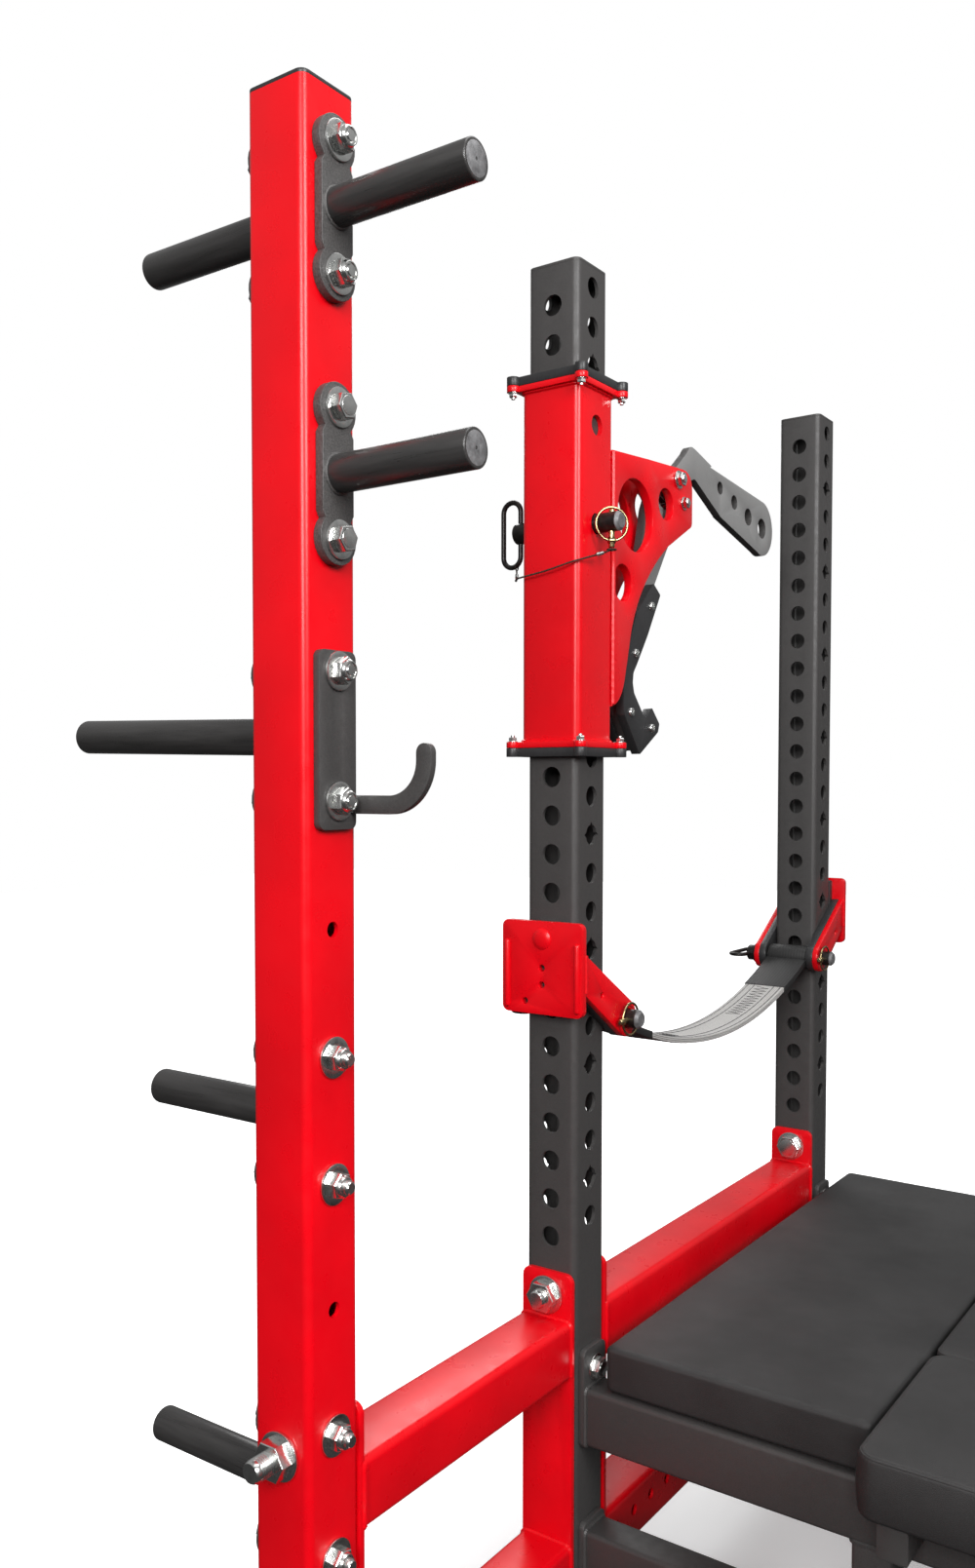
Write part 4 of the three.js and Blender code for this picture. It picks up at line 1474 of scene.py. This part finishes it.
class RACK_OT_pins(bpy.types.Operator):
    """Put the lock pins through the sleeves, each with its loop handle and snap ring"""

    bl_idname = "bench_rack.pins"
    bl_label = "Lock pins"

    def execute(self, context):
        for side in SIDES:
            place = side_place(side) @ at(0, 0, LOCK_Z)
            pin = pull_pin(SLEEVE_HALF + 0.3, RING_TURN)
            put(pin, f"{side}_lock_pin_turned", place, "pin peg_face gold", stands_for=[f"{side}_lock_pin"])
            loop = Piece().add(loop_handle(), at(LOOP_X, 0, 0))
            put(loop, f"{side}_loop_bent", place, "pin", f"{side}_loop", [f"{side}_loop_handle"])
            ring = Piece()
            turn = at(LYNCH_X, 0, -RING_DROP) @ Matrix.Rotation(-RING_TURN, 4, "Z")
            ring.add(snap_ring(math.asin(5.2 / RING_R)), turn)
            put(ring, f"{side}_ring_wire", place, "gold", f"{side}_ring", [f"{side}_lynch_ring"])
        return {"FINISHED"}


# ---------------------------------------------------------------- strap brackets and straps


def strap_bracket():
    """A bracket's back plate with its ridges and stud, and the two arms with their plastic liners."""
    outside = -TUBE_HALF - 0.3
    face = outside - 12.6
    back = face - 10
    piece = Piece()
    small = [circle(0, 77, 4.5, 18), circle(0, 55, 4.5, 18), circle(-26, 32, 4.5, 18)]
    outline = rounded((-BRACKET_HALF, BRACKET_HALF), (16, 138), 9)
    piece.add(plate(outline, "y", back, face, small, edge=1.4))
    piece.add(plate(rounded((-TUBE_HALF, TUBE_HALF), (20, 134), 3), "y", face - 1, outside), finish=1)
    arm = [(face - 1, 99)]
    arm += arc(STRAP_PIN_Y, 0, 25, 0.33 * math.pi, -0.69 * math.pi, 22)
    arm.append((face - 1, 46))
    holes = [circle(STRAP_PIN_Y, 0, HOLE_R, 32), circle(-8, 40, 4, 16)]
    inner, outer = BRACKET_ARM
    liner = outer - 9.5
    for way in (1, -1):
        mirror = Matrix.Diagonal((way, 1, 1, 1))
        piece.add(plate(arm, "x", liner, outer, holes, edge=1.3), mirror)
        piece.add(plate(arm, "x", inner, liner, holes[:1], edge=0.8), mirror, 1)
        ridge = bar("z", 4.2, 22, 112, 3.4, 20)
        piece.add(ridge, at(way * (BRACKET_HALF - 8), back - 0.2, 0))
        piece.add(weld((way * outer, face, 48), (way * outer, face, 97)))
    dome = [(0, 0), (14, 0), (13.6, 1.2), (11, 2.9), (7, 4.1), (0, 4.4)]
    piece.add(turned(dome, "y", 28), at(0, back, 115) @ Matrix.Diagonal((1, -1, 1, 1)))
    piece.add(bar("y", 12.5, face, outside + 18, 1.5), at(0, 0, STUD_RISE), 2)
    return piece


def strap_line(rise, start, end, steps=40):
    """Points of the sagging strap, as (y, z), rise above its middle layer."""
    middle = (start + end) / 2
    half = (ENTRY_Y - 2 * STRAP_PIN_Y) / 2
    centre = ENTRY_Y / 2
    line = []
    for i in range(steps + 1):
        y = start + (end - start) * i / steps
        share = (y - centre) / half
        line.append((y, rise - STRAP_SAG * (1 - share * share)))
    return line


def strap_layer(rise, half_thick, half_width, start, end, steps=40):
    """One closed layer of the strap between two places along it."""
    upper = strap_line(rise + half_thick, start, end, steps)
    lower = strap_line(rise - half_thick, start, end, steps)
    return plate([*lower, *reversed(upper)], "x", -half_width, half_width, edge=0.9)


STRAP_LAYERS = {"upper": 2.7, "middle": 0.0, "lower": -2.7}


class RACK_OT_straps(bpy.types.Operator):
    """Pin the safety straps between their brackets"""

    bl_idname = "bench_rack.straps"
    bl_label = "Safety straps"

    def execute(self, context):
        bracket = strap_bracket()
        first, last = STRAP_PIN_Y, ENTRY_Y - STRAP_PIN_Y
        pin = pull_pin(BRACKET_ARM[1] + 0.3, 0)
        pin.add(loop_handle(), at(LOOP_X, 0, 0))
        ring = [(LYNCH_X, u, v - RING_DROP) for u, v in circle(0, 0, RING_R, 44)]
        pin.add(rod(ring, RING_WIRE, 12, closed=True), finish=2)
        lie_back = Matrix.Rotation(-math.pi / 2, 4, "X")
        for side in SIDES:
            place = side_place(side) @ at(0, 0, STRAP_Z)
            about = at(0, ENTRY_Y, 0) @ Matrix.Rotation(math.pi, 4, "Z")
            spots = {"rack": (Matrix.Identity(4), first), "entry": (about, last)}
            for end, (turn, pin_y) in spots.items():
                node = f"{side}_strap_bracket_{end}"
                put(
                    bracket.copy(),
                    f"{node}_welded",
                    place @ turn,
                    "red plastic zinc",
                    stands_for=[node],
                )
                node = f"{side}_strap_pin_{end}"
                spot = place @ at(0, pin_y, 0) @ lie_back
                put(pin.copy(), f"{node}_turned", spot, "pin peg_face gold", stands_for=[node])
            self.strap(side, place, first, last)
        return {"FINISHED"}

    def strap(self, side, place, first, last):
        """Three sewn layers of webbing, with a rubber sleeve over each end and an eye round each pin."""
        reach = 15
        for name, rise in STRAP_LAYERS.items():
            layer = Piece().add(strap_layer(rise, 1.3, STRAP_HALF, first + reach, last - reach))
            made = put(layer, f"{side}_strap_{name}", place, "webbing")
        eyes = Piece()
        for y in (first, last):
            bore = circle(0, 0, PIN_R + 0.9, 40)
            ring = plate(circle(0, 0, 19.8, 40), "x", -STRAP_HALF, STRAP_HALF, [bore], edge=1.2)
            eyes.add(ring, at(0, y, 0))
        for start, end in ((first + 14, first + 118), (last - 118, last - 14)):
            eyes.add(strap_layer(0, 5.6, STRAP_HALF + 1.6, start, end, 12))
        put(eyes, f"{side}_strap_rubber", place, "rubber", stands_for=[f"{side}_strap"])
        put(self.stitches(first, last), f"{side}_strap_stitches", place, "thread")

    def stitches(self, first, last):
        """Rows of stitches along the strap, and a zigzag of them near the rack end."""
        sewn = Piece()
        start, end = first + 116, last - 116
        for face in (4.15, -4.15):
            for x in (-30, -18, 18, 30):
                line = [(x, y, z) for y, z in strap_line(face, start, end, 60)]
                radii = [0.55 + 0.35 * (i % 2) for i in range(len(line))]
                sewn.add(rod(line, radii, 5))
            for middle in (first + 190, last - 190):
                zigzag = strap_line(face, middle - 66, middle + 66, 24)
                line = [(12 if i % 2 else -12, y, z) for i, (y, z) in enumerate(zigzag)]
                sewn.add(rod(line, 0.7, 5))
        return sewn


# ---------------------------------------------------------------- bench frame


def beam(axis, low, high, across, upright_span, corner=6):
    """A closed rectangular tube along an axis; the other two spans are in X, Y, Z order."""
    return plate(rounded(across, upright_span, corner), axis, low, high, edge=0.8)


class RACK_OT_bench_frame(bpy.types.Operator):
    """Build the bench's welded frame between the two sides, with the bolts through its end plates"""

    bl_idname = "bench_rack.bench_frame"
    bl_label = "Bench frame"

    def execute(self, context):
        place = bench_place()
        piece, bolts = Piece(), Piece()
        end = INNER_WIDTH / 2 - 0.3
        for y, z, plate_z, bolt_z in (
            (0, BENCH_BEAM, (BENCH_BEAM[0] - 4, 463), 434),
            (0, LOW_BEAM, (LOW_BEAM[0] - 44, LOW_BEAM[1] + 10), 122),
            (ENTRY_Y, BENCH_BEAM, (BENCH_BEAM[0] - 4, 463), 434),
        ):
            self.crossbeam(piece, bolts, end, y, z, plate_z, bolt_z)
        rail_z = (BENCH_BEAM[0] + 1.2, BENCH_BEAM[1] - 1.2)
        for x in (-RAIL_X, RAIL_X):
            span = (x - BEAM_HALF, x + BEAM_HALF)
            piece.add(beam("y", BEAM_HALF - 1, ENTRY_Y - BEAM_HALF + 1, span, rail_z))
            for y in (BEAM_HALF, ENTRY_Y - BEAM_HALF):
                for u in span:
                    piece.add(weld((u, y, rail_z[0] + 4), (u, y, rail_z[1] - 4)))
            post = BEAM_HALF - 1
            piece.add(
                beam("z", LOW_BEAM[1] - 1, BENCH_BEAM[0] + 1, (x - post, x + post), (-post, post))
            )
            for z in (LOW_BEAM[1], BENCH_BEAM[0]):
                ring = rounded((x - post, x + post), (-post, post), 6)
                piece.add(weld(*ring_of(ring, z), closed=True))
            out = math.copysign(112, x)
            bracket = rounded((out - 17, out + 17), (371, BENCH_BEAM[1] - 2), 3)
            piece.add(plate(bracket, "y", -98, 2 - BEAM_HALF, edge=1.2))
        put(piece, "bench_frame_welded", place, "black", stands_for=["bench_frame"])
        put(bolts, "bench_frame_bolts", place, "zinc")
        return {"FINISHED"}

    def crossbeam(self, piece, bolts, end, y, z, plate_z, bolt_z):
        piece.add(beam("x", 8 - end, end - 8, (y - BEAM_HALF, y + BEAM_HALF), z))
        for way in (1, -1):
            mirror = Matrix.Diagonal((way, 1, 1, 1))
            outline = rounded((y - 28, y + 28), plate_z, 10)
            piece.add(plate(outline, "x", end - 8, end), mirror)
            ring = rounded((y - BEAM_HALF, y + BEAM_HALF), z, 6)
            piece.add(weld(*[(end - 8, u, v) for u, v in ring], closed=True), mirror)
            flip = mirror @ at(end - 8, y, bolt_z) @ Matrix.Diagonal((-1, 1, 1, 1))
            bolts.add(washer("x", 17, 8.3, 0.2, 3), flip)
            bolts.add(hexagon("x", 24, 3, 13), flip)
            bolts.add(bar("x", 9.6, 12, 13.4, 0.5), flip)


# ---------------------------------------------------------------- pads


PAD_CUTS = 44
PAD_FLAT_BELOW = 0.4  # the share of the crown by which the rim lies under the box's top


def rounded_in_plan(x, y, half_x, half_y, radius):
    """The point drawn in where it lies in one of the rectangle's corners."""
    dx = abs(x) - (half_x - radius)
    dy = abs(y) - (half_y - radius)
    if dx <= 0 or dy <= 0:
        return x, y
    share = max(dx, dy) / math.hypot(dx, dy)
    return (
        math.copysign(half_x - radius + dx * share, x),
        math.copysign(half_y - radius + dy * share, y),
    )


def rolled(distance, radius, from_top):
    """Inset and drop of a point of the rolled edge, from its distance to the sharp one."""
    share = min(1, distance / radius)
    angle = math.pi / 4 * (1 + share if from_top else 1 - share)
    return radius * (1 - math.cos(angle)), radius * (1 - math.sin(angle))


def pad_shape(low, high, corner, edge, bulge, seed):
    """A stuffed pad in its box: crowned on top, rolled round its edges, its sides a little full."""
    half = [(b - a) / 2 for a, b in zip(low, high)]
    middle = [(b + a) / 2 for a, b in zip(low, high)]
    crown = settings().pad_crown / MM
    shape = bmesh.new()
    bmesh.ops.create_cube(shape, size=2)
    bmesh.ops.subdivide_edges(shape, edges=shape.edges[:], cuts=PAD_CUTS, use_grid_fill=True)
    for vert in shape.verts:
        x, y, z = (h * math.sin(c * math.pi / 2) for h, c in zip(half, vert.co))
        on_face = abs(abs(vert.co.z) - 1) < 1e-6
        inset_now = min(half[0] - abs(x), half[1] - abs(y))
        depth = half[2] - abs(z)
        if on_face and inset_now < edge:
            inset, drop = rolled(inset_now, edge, True)
        elif not on_face and depth < edge:
            inset, drop = rolled(depth, edge, False)
            inset_now = 0
            drop -= depth
        else:
            inset, drop = inset_now, 0
        x *= (half[0] - inset) / max(1e-6, half[0] - inset_now)
        y *= (half[1] - inset) / max(1e-6, half[1] - inset_now)
        z -= math.copysign(drop, z)
        level = z / half[2]
        swell = bulge * (1 - level * level) if not on_face else 0
        x *= (half[0] - bulge + swell) / half[0]
        y *= (half[1] - bulge + swell) / half[1]
        x, y = rounded_in_plan(x, y, half[0] - bulge, half[1] - bulge, corner)
        rise = (1 - (x / half[0]) ** 2) * (1 - (y / half[1]) ** 2)
        if z > 0:
            z += level * crown * (rise**0.6 - PAD_FLAT_BELOW)
        slack = noise.noise(Vector((x / 90, y / 90, seed)))
        gather = noise.noise(Vector((x / 16, y / 16, z / 70 + seed)))
        if on_face:
            z += 0.5 * slack * (z > 0)
        else:
            x += math.copysign(0.45 * gather * (abs(x) > half[0] - 30), x)
            y += math.copysign(0.45 * gather * (abs(y) > half[1] - 30), y)
        vert.co = (x + middle[0], y + middle[1], z + middle[2])
    bmesh.ops.recalc_face_normals(shape, faces=shape.faces[:])
    return shape


def pad_seam(low, high, corner, drop, inset):
    """The sewn ridge that runs round a pad under its top edge."""
    outline = rounded((low[0] + inset, high[0] - inset), (low[1] + inset, high[1] - inset), corner, 10)
    return rod([(u, v, high[2] - drop) for u, v in outline], 1.6, 10, closed=True)


# Each pad's corner radius, rolled edge, and fullness of its sides.
PADS = {
    "side_pad_left": (9, 7, 0.8),
    "side_pad_right": (9, 7, 0.8),
    "bench_pad": (14, 6, 2.5),
    "head_pad": (22, 6, 4.0),
}


SEWN_PADS = ("bench_pad", "head_pad")
SEAM_DROP = 3.6  # from the box's top down to the sewn ridge


class RACK_OT_pads(bpy.types.Operator):
    """Lay the vinyl pads on the bench frame"""

    bl_idname = "bench_rack.pads"
    bl_label = "Pads"

    def execute(self, context):
        to_metres = Matrix.Diagonal((MM, MM, MM, 1))
        for seed, (node, (corner, edge, bulge)) in enumerate(PADS.items()):
            low, high = ([c / MM for c in corner_at] for corner_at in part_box(node))
            cover = Piece().add(pad_shape(low, high, corner, edge, bulge, 3.7 * seed))
            made = put(cover, f"{node}_cover", to_metres, "vinyl", stands_for=[node])
            if node in SEWN_PADS:
                seam = Piece().add(pad_seam(low, high, corner, SEAM_DROP, bulge + 1.2))
                put(seam, f"{node}_seam", to_metres, "vinyl")
        return {"FINISHED"}


# ---------------------------------------------------------------- stage


FLOOR_HALF = 12.0  # metres
FLOOR_GLOW = (0.27, 1.0)  # the floor's glow under the rack, kept low there as a painted shadow, and out where no shadow falls
FLOOR_FADE = (0.5, 2.1)  # metres from the middle over which the glow rises and the painted shadow fades


def floor_with_painted_shadow():
    """A pale floor that glows, dim under the rack as a painted shadow and brighter away from it."""
    made = Recipe("floor_with_painted_shadow", Specular_IOR_Level=0.1)
    made.colour(made.noise(0.8, 2), (0.9, 0.9, 0.905), (0.92, 0.92, 0.925))
    made.shader.inputs["Roughness"].default_value = 0.9
    made.shader.inputs["Emission Color"].default_value = (1, 1, 1, 1)
    away = made.nodes.new("ShaderNodeVectorMath")
    away.operation = "LENGTH"
    made.link(made.place, away, 0)
    # painted shadow: the floor's glow is lower near the rack than far from it
    painted_shadow_glow = made.spread(away.outputs["Value"], *FLOOR_GLOW, *FLOOR_FADE)
    made.link(painted_shadow_glow, made.shader, "Emission Strength")
    return made.material


# Each softbox's place, the point it faces, its size, and its power in watts.
SOFTBOXES = {
    "key": ((2.9, -1.6, 2.9), (0.0, 0.0, 1.0), 1.6, 150),
    "front": ((0.9, -3.9, 2.5), (-0.5, -0.4, 1.1), 1.6, 138),
    "top": ((0.2, 0.2, 4.2), (0.0, 0.0, 0.0), 2.4, 50),
    "rear": ((-2.6, 2.4, 3.2), (0.0, 0.2, 1.0), 1.6, 35),
}
SKY_LIGHT = (0.05, 0.38)  # the surroundings' strength as light, from below and from above
SKY_SEEN = 1.0  # and as seen behind the rack


class RACK_OT_stage(bpy.types.Operator):
    """Set the pale floor, the white surroundings and the softboxes"""

    bl_idname = "bench_rack.stage"
    bl_label = "Stage"

    def execute(self, context):
        scene = context.scene
        shape = bmesh.new()
        bmesh.ops.create_grid(shape, x_segments=1, y_segments=1, size=FLOOR_HALF)
        bmesh.ops.translate(shape, verts=shape.verts[:], vec=(0, 0, -0.0005))
        mesh = bpy.data.meshes.new("floor")
        shape.to_mesh(mesh)
        shape.free()
        mesh.materials.append(floor_with_painted_shadow())
        floor = bpy.data.objects.new("floor", mesh)
        scene.collection.objects.link(floor)
        floor.visible_glossy = False
        floor.visible_diffuse = False
        world = bpy.data.worlds.new("surroundings")
        world.use_nodes = True
        nodes, links = world.node_tree.nodes, world.node_tree.links
        sky = nodes["Background"]
        sky.inputs["Color"].default_value = (*settings().backdrop, 1)
        split = nodes.new("ShaderNodeSeparateXYZ")
        links.new(nodes.new("ShaderNodeTexCoord").outputs["Generated"], split.inputs["Vector"])
        light = nodes.new("ShaderNodeMapRange")
        for socket, value in zip(("From Min", "From Max", "To Min", "To Max"), (-0.35, 0.5, *SKY_LIGHT)):
            light.inputs[socket].default_value = value
        links.new(split.outputs["Z"], light.inputs["Value"])
        strength = nodes.new("ShaderNodeMix")
        strength.inputs["B"].default_value = SKY_SEEN
        seen = nodes.new("ShaderNodeLightPath").outputs["Is Camera Ray"]
        links.new(seen, strength.inputs["Factor"])
        links.new(light.outputs["Result"], strength.inputs["A"])
        links.new(strength.outputs["Result"], sky.inputs["Strength"])
        scene.world = world
        for name, (spot, target, size, power) in SOFTBOXES.items():
            data = bpy.data.lights.new(name, "AREA")
            data.shape = "SQUARE"
            data.size = size
            data.energy = power
            light = bpy.data.objects.new(name, data)
            light.location = spot
            aim = Vector(target) - Vector(spot)
            light.rotation_euler = aim.to_track_quat("-Z", "Y").to_euler()
            scene.collection.objects.link(light)
        scene.view_settings.view_transform = "Standard"
        scene.view_settings.look = "None"
        return {"FINISHED"}


# ---------------------------------------------------------------- panel and run


class RACK_PT_panel(bpy.types.Panel):
    """The rack's settings and the operators that build it"""

    bl_idname = "RACK_PT_panel"
    bl_label = "Bench rack"
    bl_space_type = "VIEW_3D"
    bl_region_type = "UI"
    bl_category = "Bench rack"

    def draw(self, context):
        for name in RackSettings.__annotations__:
            self.layout.prop(context.scene.bench_rack, name)
        for operator in BUILDERS:
            self.layout.operator(operator.bl_idname)


BUILDERS = (
    RACK_OT_camera,
    RACK_OT_lanyards,
    RACK_OT_uprights,
    RACK_OT_ladders,
    RACK_OT_storage,
    RACK_OT_sleeves,
    RACK_OT_arms,
    RACK_OT_pins,
    RACK_OT_straps,
    RACK_OT_bench_frame,
    RACK_OT_pads,
    RACK_OT_stage,
)
CLASSES = (RackSettings, *BUILDERS, RACK_PT_panel)


def register():
    for item in CLASSES:
        bpy.utils.register_class(item)
    bpy.types.Scene.bench_rack = bpy.props.PointerProperty(type=RackSettings)


def unregister():
    del bpy.types.Scene.bench_rack
    for item in reversed(CLASSES):
        bpy.utils.unregister_class(item)


def main():
    register()
    for operator in BUILDERS:
        getattr(bpy.ops.bench_rack, operator.bl_idname.split(".")[1])()


if __name__ == "__main__":
    main()
